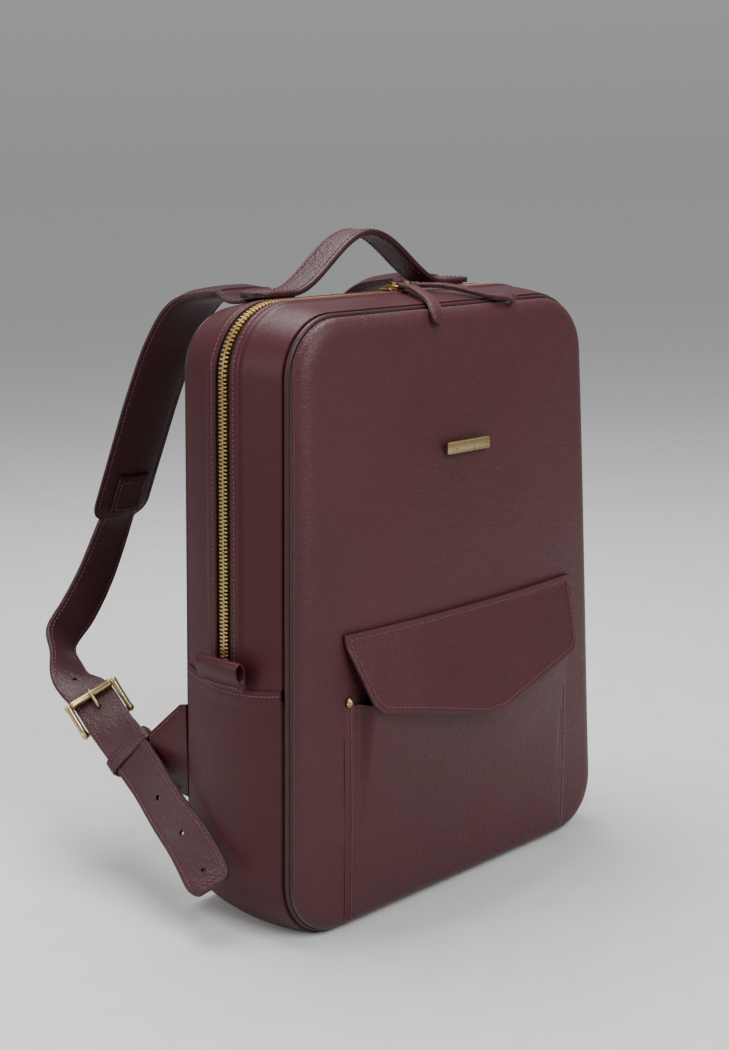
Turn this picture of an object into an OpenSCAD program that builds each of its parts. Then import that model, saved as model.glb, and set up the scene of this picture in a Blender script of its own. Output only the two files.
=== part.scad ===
// Leather laptop backpack: domed front that unzips, flapped front pocket, top handle and
// two buckled shoulder straps. Millimetres. +Z up, the front faces -Y, X is across.
// The origin is the centre of the base, on the surface that the bag stands on.

/* [Body] */
// Width across the front at the base
bag_w = 304; // [300:1:308]
// Width that each side loses from base to top
side_taper = 11; // [9:1:12]
// Height of the front seam above the base
bag_h = 400; // [398:1:402]
// Depth between the front and rear seams
bag_d = 100; // [99:1:101]
// Radius of the corners seen from the front
corner_r = 40; // [38:1:42]
// How far the side and top leather bulges past the seams
crown_h = 6; // [4:1:6]
// Thickness of the leather walls
wall = 3; // [2.5:0.1:3]

/* [Front] */
// How far the padded front stands proud of its seam
dome_h = 20; // [18:1:20]
// Height at which the open front folds down
fold_z = 204; // [202:1:206]
// Angle that the pocket flap stands out at
flap_flare = 19.5; // [19:0.5:21]
// Half the width of the flap at its top
flap_half = 112; // [106:1:114]

/* [Zip] */
// Y of the line between the two rows of teeth
zip_y = 3; // [2:0.5:3]
// Height at which the zip ends on each side
zip_end_z = 166; // [164:1:168]

/* [Straps] */
// Width of the padded shoulder strap
pad_w = 50; // [46:1:52]
// Width of the buckled strap
strap_w = 30; // [28:1:30]
// Thickness of the buckled strap
strap_t = 3.2; // [2.8:0.1:3.2]
// Width of the top handle
handle_w = 26; // [24:1:26]
// Rise of the handle above the top of the bag
handle_rise = 38; // [36:1:42]

/* [Hidden] */
$fn = 32;
SHELL = ["back_panel", "back_pad_left", "back_pad_right", "back_piping", "rear_gusset",
    "base_gusset", "base_board", "lining", "laptop_sleeve", "slip_pocket", "zip_tape_rear",
    "zip_teeth_rear", "gusset_foot", "zip_foot_tape", "zip_foot_teeth", "zip_tab_left", "zip_tab_right",
    "front_panel_lower", "front_piping_lower", "pocket_sheet", "pocket_gusset_left",
    "pocket_gusset_right", "pocket_rivet_left", "pocket_rivet_right", "flap_root",
    "handle_base_left", "handle_base_right"];
COVER = ["front_panel_upper", "front_piping_upper", "front_gusset", "zip_tape_front",
    "zip_teeth_front", "name_plate"];
MOVING = ["pocket_flap", "handle_strap", "slider_left", "slider_right", "pull_link_left",
    "pull_link_right", "pull_tab_left", "pull_tab_right"];
STRAPS = ["strap_pad_left", "strap_pad_right", "pad_patch_left", "pad_patch_right",
    "strap_tail_left", "strap_tail_right", "base_strap_left", "base_strap_right",
    "strap_anchor_left", "strap_anchor_right", "buckle_frame_left", "buckle_frame_right",
    "buckle_roller_left", "buckle_roller_right", "buckle_prong_left", "buckle_prong_right",
    "keeper_left", "keeper_right"];

leather = "#5b3238";
dark_leather = "#45262b";
brass = "#b59a62";
fabric = "#3a2c2e";

gap = 0.3;                                   // clearance between neighbouring pieces
butt = 0.02;                                 // clearance where two lengths of piping butt
half_d = bag_d / 2;
seam_y = half_d - 4;                         // where the gussets meet the two panels
base_cx = bag_w / 2 - corner_r;              // centre of a lower corner
top_cx = base_cx - side_taper;               // centre of an upper corner
top_cz = bag_h - corner_r;
side_run = norm([side_taper, top_cz - corner_r]);
lean = asin(side_taper / side_run);          // how far the sides lean inwards
tape_half = 11;                              // half the width of the zip's tape
tooth_l = 3.4;                               // width of one row of teeth
tape_mid = zip_y + 1;                        // middle of the slot that the zip fills
seam_run = zip_end_z - corner_r;              // length of side below the base gusset's seam
fold_run = (fold_z - corner_r) / cos(lean) - 1.5;  // length of side below the fold
piping_r = 2.2;

function crown(y) = crown_h * (1 - pow(y / half_d, 2));
function arc(c, r, a0, a1, n) =
    [for (i = [0:n]) let (a = a0 + (a1 - a0) * i / n) [c[0] + r * cos(a), c[1] + r * sin(a)]];

// Outline of the bag seen from the front, drawn in by an inset
function outline(inset) =
    let (r = max(corner_r - inset, 8), k = inset + r - corner_r)
    let (right = concat(arc([base_cx - k, corner_r + k], r, -90, lean, 8),
                        arc([top_cx - k, top_cz - k], r, lean, 90, 8)))
    concat(right, [for (i = [len(right) - 1:-1:0]) [-right[i][0], right[i][1]]]);

// A slice of that outline between two depths
module slab(inset, y0, y1)
    translate([0, y1, 0]) rotate([90, 0, 0]) linear_extrude(y1 - y0) polygon(outline(inset));

// Section of a strip that follows the crown, from off_in to off_out about the leather's face
function strip(y0, y1, off_in, off_out, n = 6) = concat(
    [for (i = [0:n]) let (y = y0 + (y1 - y0) * i / n) [corner_r + crown(y) + off_out, y]],
    [for (i = [n:-1:0]) let (y = y0 + (y1 - y0) * i / n) [corner_r + crown(y) + off_in, y]]);
function disc(r_mid, y, r) =
    [for (a = [22.5:45:360]) [r_mid + r * cos(a) / cos(22.5), y + r * sin(a) / cos(22.5)]];

module corner(cx, cz, a0, a1, section)
    translate([cx, 0, cz]) mirror([0, 1, 0]) rotate([90, 0, 0]) rotate([0, 0, a0])
        rotate_extrude(angle = a1 - a0) polygon(section);
module side(s0, s1, section)
    translate([base_cx, 0, corner_r]) rotate([0, -lean, 0]) translate([0, 0, s0])
        linear_extrude(s1 - s0) polygon(section);
module level(x0, x1, cz, section)
    translate([x1, 0, cz]) rotate([0, -90, 0]) linear_extrude(x1 - x0) polygon(section);
module both_sides() {
    children();
    mirror([1, 0, 0]) children();
}
// Strip that runs up both sides from s0 and over the top
module arch(s0, section) {
    both_sides() {
        side(s0, side_run, section);
        corner(top_cx, top_cz, lean, 90, section);
    }
    level(-top_cx, top_cx, top_cz, section);
}
// Strip that runs down both sides from s1 and under the base
module cradle(s1, section) {
    both_sides() {
        side(0, s1, section);
        corner(base_cx, corner_r, -90, lean, section);
    }
    mirror([0, 0, 1]) level(-base_cx, base_cx, -corner_r, section);
}

// ---- smooth swept straps ----
function spline(a, b, c, d, t) = 0.5 * (2 * b + (c - a) * t
    + (2 * a - 5 * b + 4 * c - d) * t * t + (3 * b - 3 * c + d - a) * t * t * t);
function smooth(p, n) = let (m = len(p) - 1) concat(
    [for (i = [0:m - 1], j = [0:n - 1])
        spline(i == 0 ? 2 * p[0] - p[1] : p[i - 1], p[i], p[i + 1],
               i == m - 1 ? 2 * p[m] - p[m - 1] : p[i + 2], j / n)], [p[m]]);
function unit(v) = v / norm(v);
// Corners of one ring: section points are [across, out] about the path
function ring(path, wide, k, section) =
    let (m = len(path) - 1, ahead = unit(path[min(k + 1, m)] - path[max(k - 1, 0)]))
    let (across = unit(wide[k] - ahead * (wide[k] * ahead)), out = cross(ahead, across))
    [for (q = section) path[k] + across * q[0] + out * q[1]];
module sweep(route, widths, section, n = 4) {
    path = smooth(route, n);
    wide = smooth(widths, n);
    m = len(section);
    last = len(path) - 1;
    polyhedron(
        points = [for (k = [0:last]) each ring(path, wide, k, section)],
        faces = concat([[for (j = [0:m - 1]) j]],
            [for (k = [0:last - 1], j = [0:m - 1]) let (i = (j + 1) % m)
                [k * m + j, (k + 1) * m + j, (k + 1) * m + i, k * m + i]],
            [[for (j = [m - 1:-1:0]) last * m + j]]));
}
function flat(half, t0, t1) = [[-half, t0], [half, t0], [half, t1], [-half, t1]];
function cushion(half, t) = [[-half, -t / 2], [6 - half, -t], [half - 6, -t], [half, -t / 2],
    [half, t / 2], [half - 6, t], [6 - half, t], [-half, t / 2]];

// ---- body ----
module back_panel() color(leather) slab(2 * piping_r + gap, seam_y, half_d);
module back_pad() color(dark_leather) hull() {
    translate([28, half_d + gap, 70]) cube([86, 1, 250]);
    translate([36, half_d + gap, 78]) cube([70, 8, 234]);
}
module piping(y) {
    section = disc(corner_r - piping_r, y, piping_r);
    both_sides() {
        side(butt, side_run, section);
        corner(top_cx, top_cz, lean, 90, section);
        corner(base_cx, corner_r, -90, lean, section);
    }
    level(-top_cx, top_cx, top_cz, section);
    mirror([0, 0, 1]) level(-base_cx, base_cx, -corner_r, section);
}
module back_piping() color(dark_leather) piping(half_d - 1.5);
module rear_gusset() color(leather)
    arch(seam_run, strip(tape_mid + tape_half + gap, seam_y, -wall, 0));
module base_gusset() color(leather) intersection() {
    union() {
        cradle(seam_run - gap, strip(-seam_y, seam_y, -wall, 0, 12));
        intersection() {
            slab(0, -seam_y, seam_y);
            translate([-200, -60, 0]) cube([400, 120, wall]);
        }
    }
    translate([-200, -60, 0]) cube([400, 120, 300]);
}
module base_board() color("dimgray")
    translate([-110, -38, wall + gap]) cube([220, 76, 1.4]);

// ---- inside ----
module lining() color(fabric) difference() {
    slab(wall + 2, -seam_y + gap, seam_y - gap);
    slab(wall + 3, -seam_y + gap + 1, seam_y - gap - 1);
    translate([-200, -60, 186]) cube([400, 60 + seam_y - gap - 1, 300]);
}
module laptop_sleeve() color(fabric) difference() {
    translate([-125, 22, 12]) cube([250, seam_y - 24, 258]);
    translate([-121, 25, 16]) cube([242, seam_y, 300]);
}
module slip_pocket() color(fabric) difference() {
    translate([-95, 12, 60]) cube([190, 10 - gap, 130]);
    translate([-92, 14, 63]) cube([184, 12, 140]);
}

// ---- zip ----
module strip_arch(s0, y0, y1, off_in, off_out) arch(s0, strip(y0, y1, off_in, off_out, 2));
module zip_tape_rear() color(fabric)
    strip_arch(seam_run, zip_y + gap, tape_mid + tape_half, -2.8, -1.6);
module zip_teeth_rear() color(brass)
    strip_arch(seam_run, zip_y + gap, zip_y + tooth_l, -1.5, 0.5);
module zip_tape_front() color(fabric)
    strip_arch(fold_run, tape_mid - tape_half, zip_y - gap, -2.8, -1.6);
module zip_teeth_front() color(brass)
    strip_arch(fold_run, zip_y - tooth_l, zip_y - gap, -1.5, 0.5);
// The front half of the zip and its gusset between the base seam and the fold, on both sides
module foot(section) both_sides() side(seam_run, fold_run - 2 * gap, section);
module gusset_foot() color(leather) foot(strip(-seam_y, tape_mid - tape_half - gap, -wall, 0));
module zip_foot_tape() color(fabric)
    foot(strip(tape_mid - tape_half, zip_y - gap, -2.8, -1.6, 2));
module zip_foot_teeth() color(brass) foot(strip(zip_y - tooth_l, zip_y - gap, -1.5, 0.5, 2));
// Folded leather end of the zip, on the side of the bag
module zip_tab() color(leather)
    translate([base_cx, 0, corner_r]) rotate([0, -lean, 0])
        translate([corner_r + crown_h + 1, -22, seam_run + 0.5]) rotate([-90, 0, 0]) difference() {
            linear_extrude(40) union() {
                translate([4.4, -9]) circle(r = 4.4);
                polygon([[0, -9], [0, 0], [2, 0], [8.6, -7.6]]);
            }
            translate([4.4, -9, -1]) cylinder(r = 2.6, h = 42);
        }

// ---- front ----
// Rounded pillow that fills the outline: each step is [inset, how far it stands out]
DOME = [[3, 1.4], [2.2, 3], [5, 7], [12, 10.5], [30, 13.5], [60, 17], [100, 19.5], [125, 20]];
module pillow(inset, y, k) {
    slab(2 * piping_r + gap + inset, y - half_d - 2, -seam_y);
    hull() for (step = DOME)
        slab(step[0] + inset, y - half_d - step[1] * k, y - half_d - step[1] * k + 0.1);
}
module front_panel() difference() {
    pillow(0, 0, dome_h / 20);
    translate([0, 0.1, 0]) pillow(4, 4.4, dome_h / 20);
}
module below(z) intersection() {
    children();
    translate([-200, -200, -1]) cube([400, 300, z + 1]);
}
module above(z) intersection() {
    children();
    translate([-200, -200, z]) cube([400, 300, 500]);
}
module front_panel_lower() color(leather) below(fold_z - gap) front_panel();
module front_panel_upper() color(leather) above(fold_z + gap) front_panel();
module front_piping_lower() color(dark_leather) below(fold_z - gap) piping(1.5 - half_d);
module front_piping_upper() color(dark_leather) above(fold_z + gap) piping(1.5 - half_d);
module front_gusset() color(leather)
    arch(fold_run, strip(-seam_y, tape_mid - tape_half - gap, -wall, 0));
module name_plate() color(brass) translate([-20.5, -half_d - dome_h - 2.2, 303])
    cube([41, 2, 8]);
// A sheet that follows the front, from off to off + t in front of it
module over_front(off, t) difference() {
    translate([0, -off - t, 0]) pillow(0, 0, dome_h / 20);
    translate([0, -off, 0]) pillow(0, 0, dome_h / 20);
}
flap_pivot = [-half_d - dome_h - 3, 195];    // Y and Z of the line that the flap turns on
mouth_z = 152;                               // height of the pocket's mouth
swell_z = 84;                                // where the pocket starts to stand out
swell = 10.3;                                // angle of the pocket's front
module turned(y, z, a) translate([0, y, z]) rotate([-a, 0, 0]) translate([0, -y, -z]) children();
module upright(points, y0 = -120, y1 = -50)
    translate([0, y1, 0]) rotate([90, 0, 0]) linear_extrude(y1 - y0) polygon(points);
module flap_root() color(leather) intersection() {
    over_front(gap, 2.4);
    upright([[-flap_half, 195.6], [flap_half, 195.6], [flap_half, 199], [-flap_half, 199]]);
}
module pocket_flap() color(leather) turned(flap_pivot[0], flap_pivot[1], flap_flare) intersection() {
    over_front(gap, 2.4);
    upright([[-flap_half, 195], [-flap_half + 12, 148], [0, 123], [flap_half - 12, 148],
             [flap_half, 195]]);
}
module pocket_sheet() color(leather) intersection() {
    union() {
        below(swell_z) over_front(gap, 1.8);
        turned(-half_d - dome_h - gap, swell_z, -swell) above(swell_z) over_front(gap, 1.8);
        turned(-half_d - dome_h - gap, swell_z, -swell / 2) intersection() {
            over_front(gap, 1.8);
            upright([[-100, swell_z - 4], [100, swell_z - 4], [100, swell_z + 4], [-100, swell_z + 4]]);
        }
    }
    upright([[-100, 10], [100, 10], [100, mouth_z], [-100, mouth_z]]);
}
module pocket_gusset() color(dark_leather) difference() {
    translate([100 + gap, 0, 0]) rotate([90, 0, 90]) linear_extrude(1.6)
        polygon([[-66, swell_z], [-78.5, mouth_z - 2], [-60, mouth_z - 2], [-60, swell_z]]);
    translate([0, -gap, 0]) pillow(0, 0, dome_h / 20);
}
module pocket_rivet() color(brass) translate([108, -65.8, 154.5]) rotate([90, 0, 0]) {
    cylinder(r = 3.2, h = 1.2);
    translate([0, 0, 1.2]) cylinder(r = 2.2, h = 0.8);
}

// ---- zip sliders ----
plate_z = bag_h + crown_h + 1;
slider_x = 6.5;                              // half the distance between the two sliders
module slider(side) color(brass) translate([11.5 + side * slider_x, zip_y, plate_z]) {
    translate([-6, -5.2, 0]) cube([12, 10.7, 1.8]);
    translate([-6, -5.2, -2]) cube([12, 1.2, 2.1]);
    for (y = [-2.9, 2.1]) translate([-1.2, y, 1.7]) cube([2.4, 0.8, 3]);
    translate([-1.2, -2.9, 4.2]) cube([2.4, 5.8, 0.9]);
}
pull_axis = [zip_y, plate_z + 3.1];          // Y and Z of the line that a pull turns on
module pull_link(side) color(brass) translate([11.5 + side * slider_x, pull_axis[0], pull_axis[1]]) {
    for (y = [0, -10]) translate([-5, y, 0]) rotate([0, 90, 0]) cylinder(r = 0.8, h = 10);
    for (x = [-5, 5]) translate([x, 0, 0]) rotate([90, 0, 0]) cylinder(r = 0.8, h = 10);
    for (x = [-5, 5], y = [0, -10]) translate([x, y, 0]) sphere(r = 0.8);
}
// The leather pull hangs forward over the front edge; tip is where its end lies
module pull_tab(side, tip) color(leather) {
    start = [11.5 + side * slider_x, pull_axis[0] - 10, pull_axis[1]];
    translate(start) rotate([0, 90, 0]) difference() {
        cylinder(r = 2.1, h = 7, center = true);
        cylinder(r = 0.9, h = 8, center = true);
    }
    across = tip[0] - start[0];
    sweep([start + [0, -2, 0], start + [across * 0.05, -7, 0],
           start + [across * 0.3, -20, -1], start + [across * 0.65, -42, -7],
           tip + [-across * 0.08, 3, side < 0 ? 8 : 3.2], tip],
          [for (i = [0:5]) [1, 0, 0]], flat(4.2, -1.4, 1.4), 3);
}

// ---- handle ----
handle_y = 28.5;
foot_z = bag_h + crown_h + 1.5;
foot_half = 72;
function bell(x) = foot_z + 1.6 + handle_rise * pow(0.5 + 0.5 * cos(180 * x / foot_half), 0.9);
module handle_run(x0, x1, n) translate([0, handle_y + handle_w / 2, 0]) rotate([90, 0, 0])
    linear_extrude(handle_w) polygon(concat(
        [for (i = [0:n]) let (x = x0 + (x1 - x0) * i / n) [x, bell(x) - 1.6]],
        [for (i = [n:-1:0]) let (x = x0 + (x1 - x0) * i / n) [x, bell(x) + 1.6]]));
module handle_strap() color(leather) handle_run(-60, 60, 24);
module handle_base() color(leather) {
    handle_run(60 + gap, foot_half, 4);
    translate([foot_half - 0.01, handle_y - handle_w / 2, foot_z])
        cube([32, handle_w, 3.2]);
}

// ---- shoulder straps (left; the right ones are mirrored) ----
pad_t = 5;
PAD = [[-84, 56, 411], [-86, 99, 403], [-84, 131, 376], [-83, 158, 335], [-82, 186, 284],
    [-83, 210, 235]];
TAIL = [[-84.6, 212.5, 229.7], [-99, 218, 193], [-115, 220, 168], [-132, 219, 150], [-141, 200, 139],
    [-149, 181, 129], [-150, 156, 121], [-152.5, 136, 110], [-157, 105.5, 95.5], [-163, 77, 84],
    [-167, 51, 69], [-170, 25, 55], [-176, 0, 41]];
TAIL_W = [[1, 0, -0.1], [0.86, -0.1, -0.5], [0.76, -0.17, -0.63], [0.74, -0.04, -0.67],
    [0.85, 0, -0.5], [0.95, -0.15, 0], [0.83, -0.33, 0.44], [0.83, -0.33, 0.44],
    [0.54, -0.44, 0.72], [0.4, -0.48, 0.78], [0.46, -0.48, 0.75], [0.63, -0.48, 0.61],
    [0.78, -0.46, 0.43]];
BASE = [[-149, 137.2, 104.6], [-152.6, 106.1, 93.3], [-152.6, 96.5, 91.6]];
BASE_W = [[0.83, -0.33, 0.44], [0.54, -0.44, 0.72], [0.5, -0.45, 0.74]];
module strap_pad() color(leather) sweep(PAD, [for (p = PAD) [1, 0, 0]], cushion(pad_w / 2, pad_t));
module pad_patch() color(dark_leather)
    sweep([[-82.7, 192, 272], [-83, 201, 254], [-83.2, 206, 243]], [for (i = [0:2]) [1, 0, 0]],
          flat(13, pad_t + 1, pad_t + 2.6), 3);
// Frame of reference at the buckle: X across the strap, Y back up it, Z out of its face
module at_buckle() translate([-150, 156, 121]) rotate([32, -26, -22]) children();
buckle_l = 21;                               // from the roller to the bar that holds the base strap
roller_z = 4.6;
bar_z = -6.4;
prong_y = -11.5;
module strap_tail() color(leather) difference() {
    sweep(TAIL, TAIL_W, flat(strap_w / 2, -strap_t / 2, strap_t / 2));
    at_buckle() translate([0, prong_y, -6]) cylinder(r = 2.6, h = 12);
}
module rod(a, b, r) {
    d = b - a;
    translate(a) rotate([0, acos(d[2] / norm(d)), atan2(d[1], d[0])]) cylinder(r = r, h = norm(d));
}
module buckle_frame() color(brass) at_buckle() {
    for (x = [-19.5, 19.5]) {
        rod([x, 0, roller_z], [x, -buckle_l, bar_z], 1.9);
        for (p = [[x, 0, roller_z], [x, -buckle_l, bar_z]]) rod(p - [2, 0, 0], p + [2, 0, 0], 2);
    }
    rod([-19.5, 0, roller_z], [19.5, 0, roller_z], 1.2);
    rod([-19.5, -buckle_l, bar_z], [19.5, -buckle_l, bar_z], 1.5);
}
module buckle_roller() color(brass) at_buckle() translate([-15.5, 0, roller_z])
    rotate([0, 90, 0]) difference() {
        cylinder(r = 2.6, h = 31);
        translate([0, 0, -1]) cylinder(r = 1.25, h = 33);
    }
module buckle_prong() color(brass) at_buckle() {
    difference() {
        rod([-1.8, -buckle_l, bar_z], [1.8, -buckle_l, bar_z], 2.9);
        rod([-3, -buckle_l, bar_z], [3, -buckle_l, bar_z], 1.55);
    }
    translate([-1.1, 0, 0]) rotate([90, 0, 90]) linear_extrude(2.2) polygon([
        [2 - buckle_l, bar_z - 1], [prong_y + 1.1, bar_z + 0.6], [prong_y + 1.1, 3.8],
        [1.8, roller_z + 4], [1.8, roller_z + 6.1], [prong_y - 1.1, 5.1],
        [prong_y - 1.1, bar_z + 2.2], [2 - buckle_l, bar_z + 1]]);
}
module base_strap() color(leather) {
    at_buckle() difference() {
        rod([-15, -buckle_l, bar_z], [15, -buckle_l, bar_z], 3.7);
        rod([-16, -buckle_l, bar_z], [16, -buckle_l, bar_z], 1.55);
        translate([-2.6, -buckle_l - 6, bar_z - 6]) cube([5.2, 12, 12]);
    }
    sweep(BASE, BASE_W, flat(strap_w / 2, -1.2, 1.2));
}
module strap_anchor() color(leather) translate([-150.8, 0, 0]) rotate([90, 0, 90])
    linear_extrude(2.4) polygon([[53, 75], [88, 82], [88, 110], [53, 137]]);
module keeper() color(leather) translate([-155, 105.5, 94.5]) rotate([42, -45, -39]) difference() {
    cube([38, 11, 15], center = true);
    cube([34.5, 12, 11.8], center = true);
}

back_panel();
mirror([1, 0, 0]) back_pad();  // back_pad_left
back_pad();  // back_pad_right
back_piping();
rear_gusset();
base_gusset();
base_board();
lining();
laptop_sleeve();
slip_pocket();
zip_tape_rear();
zip_teeth_rear();
gusset_foot();
zip_foot_tape();
zip_foot_teeth();
mirror([1, 0, 0]) zip_tab();  // zip_tab_left
zip_tab();  // zip_tab_right
front_panel_lower();
front_piping_lower();
pocket_sheet();
mirror([1, 0, 0]) pocket_gusset();  // pocket_gusset_left
pocket_gusset();  // pocket_gusset_right
mirror([1, 0, 0]) pocket_rivet();  // pocket_rivet_left
pocket_rivet();  // pocket_rivet_right
flap_root();
mirror([1, 0, 0]) handle_base();  // handle_base_left
handle_base();  // handle_base_right
front_panel_upper();
front_piping_upper();
front_gusset();
zip_tape_front();
zip_teeth_front();
name_plate();
pocket_flap();
handle_strap();
slider(-1);  // slider_left
slider(1);  // slider_right
pull_link(-1);  // pull_link_left
pull_link(1);  // pull_link_right
pull_tab(-1, [-20, -64, 388]);  // pull_tab_left
pull_tab(1, [62, -60.5, 398]);  // pull_tab_right
strap_pad();  // strap_pad_left
mirror([1, 0, 0]) strap_pad();  // strap_pad_right
pad_patch();  // pad_patch_left
mirror([1, 0, 0]) pad_patch();  // pad_patch_right
strap_tail();  // strap_tail_left
mirror([1, 0, 0]) strap_tail();  // strap_tail_right
base_strap();  // base_strap_left
mirror([1, 0, 0]) base_strap();  // base_strap_right
strap_anchor();  // strap_anchor_left
mirror([1, 0, 0]) strap_anchor();  // strap_anchor_right
buckle_frame();  // buckle_frame_left
mirror([1, 0, 0]) buckle_frame();  // buckle_frame_right
buckle_roller();  // buckle_roller_left
mirror([1, 0, 0]) buckle_roller();  // buckle_roller_right
buckle_prong();  // buckle_prong_left
mirror([1, 0, 0]) buckle_prong();  // buckle_prong_right
keeper();  // keeper_left
mirror([1, 0, 0]) keeper();  // keeper_right
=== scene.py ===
import math
import bpy
import bmesh
import numpy as np
from mathutils import Matrix, Vector, noise


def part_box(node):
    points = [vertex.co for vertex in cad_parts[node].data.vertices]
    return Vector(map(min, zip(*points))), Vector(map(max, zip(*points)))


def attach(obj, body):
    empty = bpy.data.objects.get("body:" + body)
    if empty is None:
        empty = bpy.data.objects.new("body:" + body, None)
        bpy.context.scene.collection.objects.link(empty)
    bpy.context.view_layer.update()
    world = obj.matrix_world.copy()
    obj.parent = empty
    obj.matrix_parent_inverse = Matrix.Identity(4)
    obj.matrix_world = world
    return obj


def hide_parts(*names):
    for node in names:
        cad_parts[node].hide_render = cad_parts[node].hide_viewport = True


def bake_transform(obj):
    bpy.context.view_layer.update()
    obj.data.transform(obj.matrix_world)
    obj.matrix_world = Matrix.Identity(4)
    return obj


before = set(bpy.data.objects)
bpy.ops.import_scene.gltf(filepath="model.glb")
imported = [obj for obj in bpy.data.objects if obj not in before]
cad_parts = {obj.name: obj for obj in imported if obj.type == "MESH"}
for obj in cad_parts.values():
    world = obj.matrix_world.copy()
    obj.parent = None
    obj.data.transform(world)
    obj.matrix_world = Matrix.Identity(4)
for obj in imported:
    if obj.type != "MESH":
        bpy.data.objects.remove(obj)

for name in ("Cube", "Light", "Camera"):     # a new file's own objects, where there are any
    if name in bpy.data.objects:
        bpy.data.objects.remove(bpy.data.objects[name])
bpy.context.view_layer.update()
MM = 0.001                                   # every builder below works in millimetres
SIDES = ((-1, "left"), (1, "right"))
ALONG_X, ALONG_Y, ALONG_Z = np.eye(3)

# ---- camera ----
CAMERA_AT = (-0.8143, -0.8046, 0.4782)
YAW, PITCH, ROLL = (math.radians(a) for a in (44.41, 7.97, -1.15))
LENS, SHIFT_UP = 57.2, -0.1


def make_camera():
    data = bpy.data.cameras.new("camera")
    data.lens, data.sensor_width, data.shift_y = LENS, 36, SHIFT_UP
    level = Vector((math.cos(YAW), -math.sin(YAW), 0))
    ahead = Vector((math.sin(YAW) * math.cos(PITCH), math.cos(YAW) * math.cos(PITCH), -math.sin(PITCH)))
    right = level * math.cos(ROLL) + level.cross(ahead) * math.sin(ROLL)
    turn = Matrix((right, right.cross(ahead), -ahead)).transposed().to_4x4()
    camera = bpy.data.objects.new("camera", data)
    camera.matrix_world = Matrix.Translation(CAMERA_AT) @ turn
    bpy.context.scene.collection.objects.link(camera)
    bpy.context.scene.camera = camera


make_camera()


# ---- materials ----
class Nodes:
    """A material's node tree, with short calls to add and join nodes."""

    def __init__(self, name):
        self.material = bpy.data.materials.new(name)
        self.material.use_nodes = True
        self.tree = self.material.node_tree
        self.shader = self.tree.nodes["Principled BSDF"]
        self.place = self.add("ShaderNodeTexCoord").outputs["Object"]

    def add(self, kind, inputs=None, **settings):
        node = self.tree.nodes.new(kind)
        for key, value in settings.items():
            setattr(node, key, value)
        for key, value in (inputs or {}).items():
            if isinstance(value, bpy.types.NodeSocket):
                self.tree.links.new(value, node.inputs[key])
            else:
                node.inputs[key].default_value = value
        return node

    def stretched(self, scale):
        return self.add("ShaderNodeMapping", {"Vector": self.place, "Scale": scale}).outputs["Vector"]

    def noise(self, scale, detail=3.0, rough=0.5, where=None):
        return self.add("ShaderNodeTexNoise", {"Vector": where or self.place, "Scale": scale,
                        "Detail": detail, "Roughness": rough}).outputs["Fac"]

    def cells(self, scale, where, smooth):
        return self.add("ShaderNodeTexVoronoi", {"Vector": where, "Scale": scale, "Smoothness": smooth},
                        feature="SMOOTH_F1").outputs["Distance"]

    def waves(self, scale, axis, distortion=0.0):
        return self.add("ShaderNodeTexWave", {"Vector": self.place, "Scale": scale,
                        "Distortion": distortion}, bands_direction=axis).outputs["Fac"]

    def math(self, operation, a, b):
        return self.add("ShaderNodeMath", {0: a, 1: b}, operation=operation).outputs[0]

    def parts(self, a, part_a, b, part_b):
        """Two patterns added up, each with its own weight."""
        return self.math("ADD", self.math("MULTIPLY", a, part_a), self.math("MULTIPLY", b, part_b))

    def ramp(self, factor, stops):
        node = self.add("ShaderNodeValToRGB", {"Fac": factor})
        marks = node.color_ramp.elements
        while len(marks) < len(stops):
            marks.new(0.5)
        for mark, (at, colour) in zip(marks, stops):
            mark.position, mark.color = at, (*colour, 1)
        return node.outputs["Color"]

    def spread(self, factor, low, high):
        """A pattern's middle range, 0.3 to 0.7, mapped onto low to high."""
        return self.add("ShaderNodeMapRange", {"Value": factor, "From Min": 0.3, "From Max": 0.7,
                        "To Min": low, "To Max": high}).outputs["Result"]

    def bump(self, height, depth, strength, under=None):
        inputs = {"Height": height, "Distance": depth, "Strength": strength}
        if under is not None:
            inputs["Normal"] = under
        return self.add("ShaderNodeBump", inputs).outputs["Normal"]

    def surface(self, colour, roughness, normal, **fixed):
        for key, socket in (("Base Color", colour), ("Roughness", roughness), ("Normal", normal)):
            self.tree.links.new(socket, self.shader.inputs[key])
        for key, value in fixed.items():
            self.shader.inputs[key.replace("_", " ")].default_value = value
        return self.material


def linear(*display):
    """A display colour, 0 to 255, as linear light."""
    return tuple(c / 255 / 12.92 if c <= 10 else ((c / 255 + 0.055) / 1.055) ** 2.4 for c in display)


def shade(colour, k):
    return tuple(min(1.0, c * k) for c in colour)


def leather(name, colour, rough, grain, stretch=(1.0, 1.0, 1.7), shine=0.3):
    """Full-grain leather: pebbles drawn out along one way, creases, pores and a patchy finish."""
    n = Nodes(name)
    where = n.stretched(stretch)
    pebble, pore = n.cells(620, where, 0.6), n.noise(1500, 2, 0.6, where)
    crease, patch = n.noise(150, 4, 0.62, where), n.noise(9, 3, 0.55)
    tint = n.ramp(n.parts(patch, 0.6, crease, 0.4),
                  [(0.3, shade(colour, 0.84)), (0.5, colour), (0.72, shade(colour, 1.16))])
    low = n.bump(crease, 0.0006 * grain, 0.4)
    mid = n.bump(pebble, 0.0003 * grain, 0.4, low)
    fine = n.bump(pore, 0.00006 * grain, 0.3, mid)
    gloss = n.spread(n.parts(pebble, 0.5, patch, 0.6), rough - 0.07, rough + 0.09)
    return n.surface(tint, gloss, fine, Specular_IOR_Level=shine, Coat_Weight=0.2 * shine,
                     Coat_Roughness=0.4)


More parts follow.
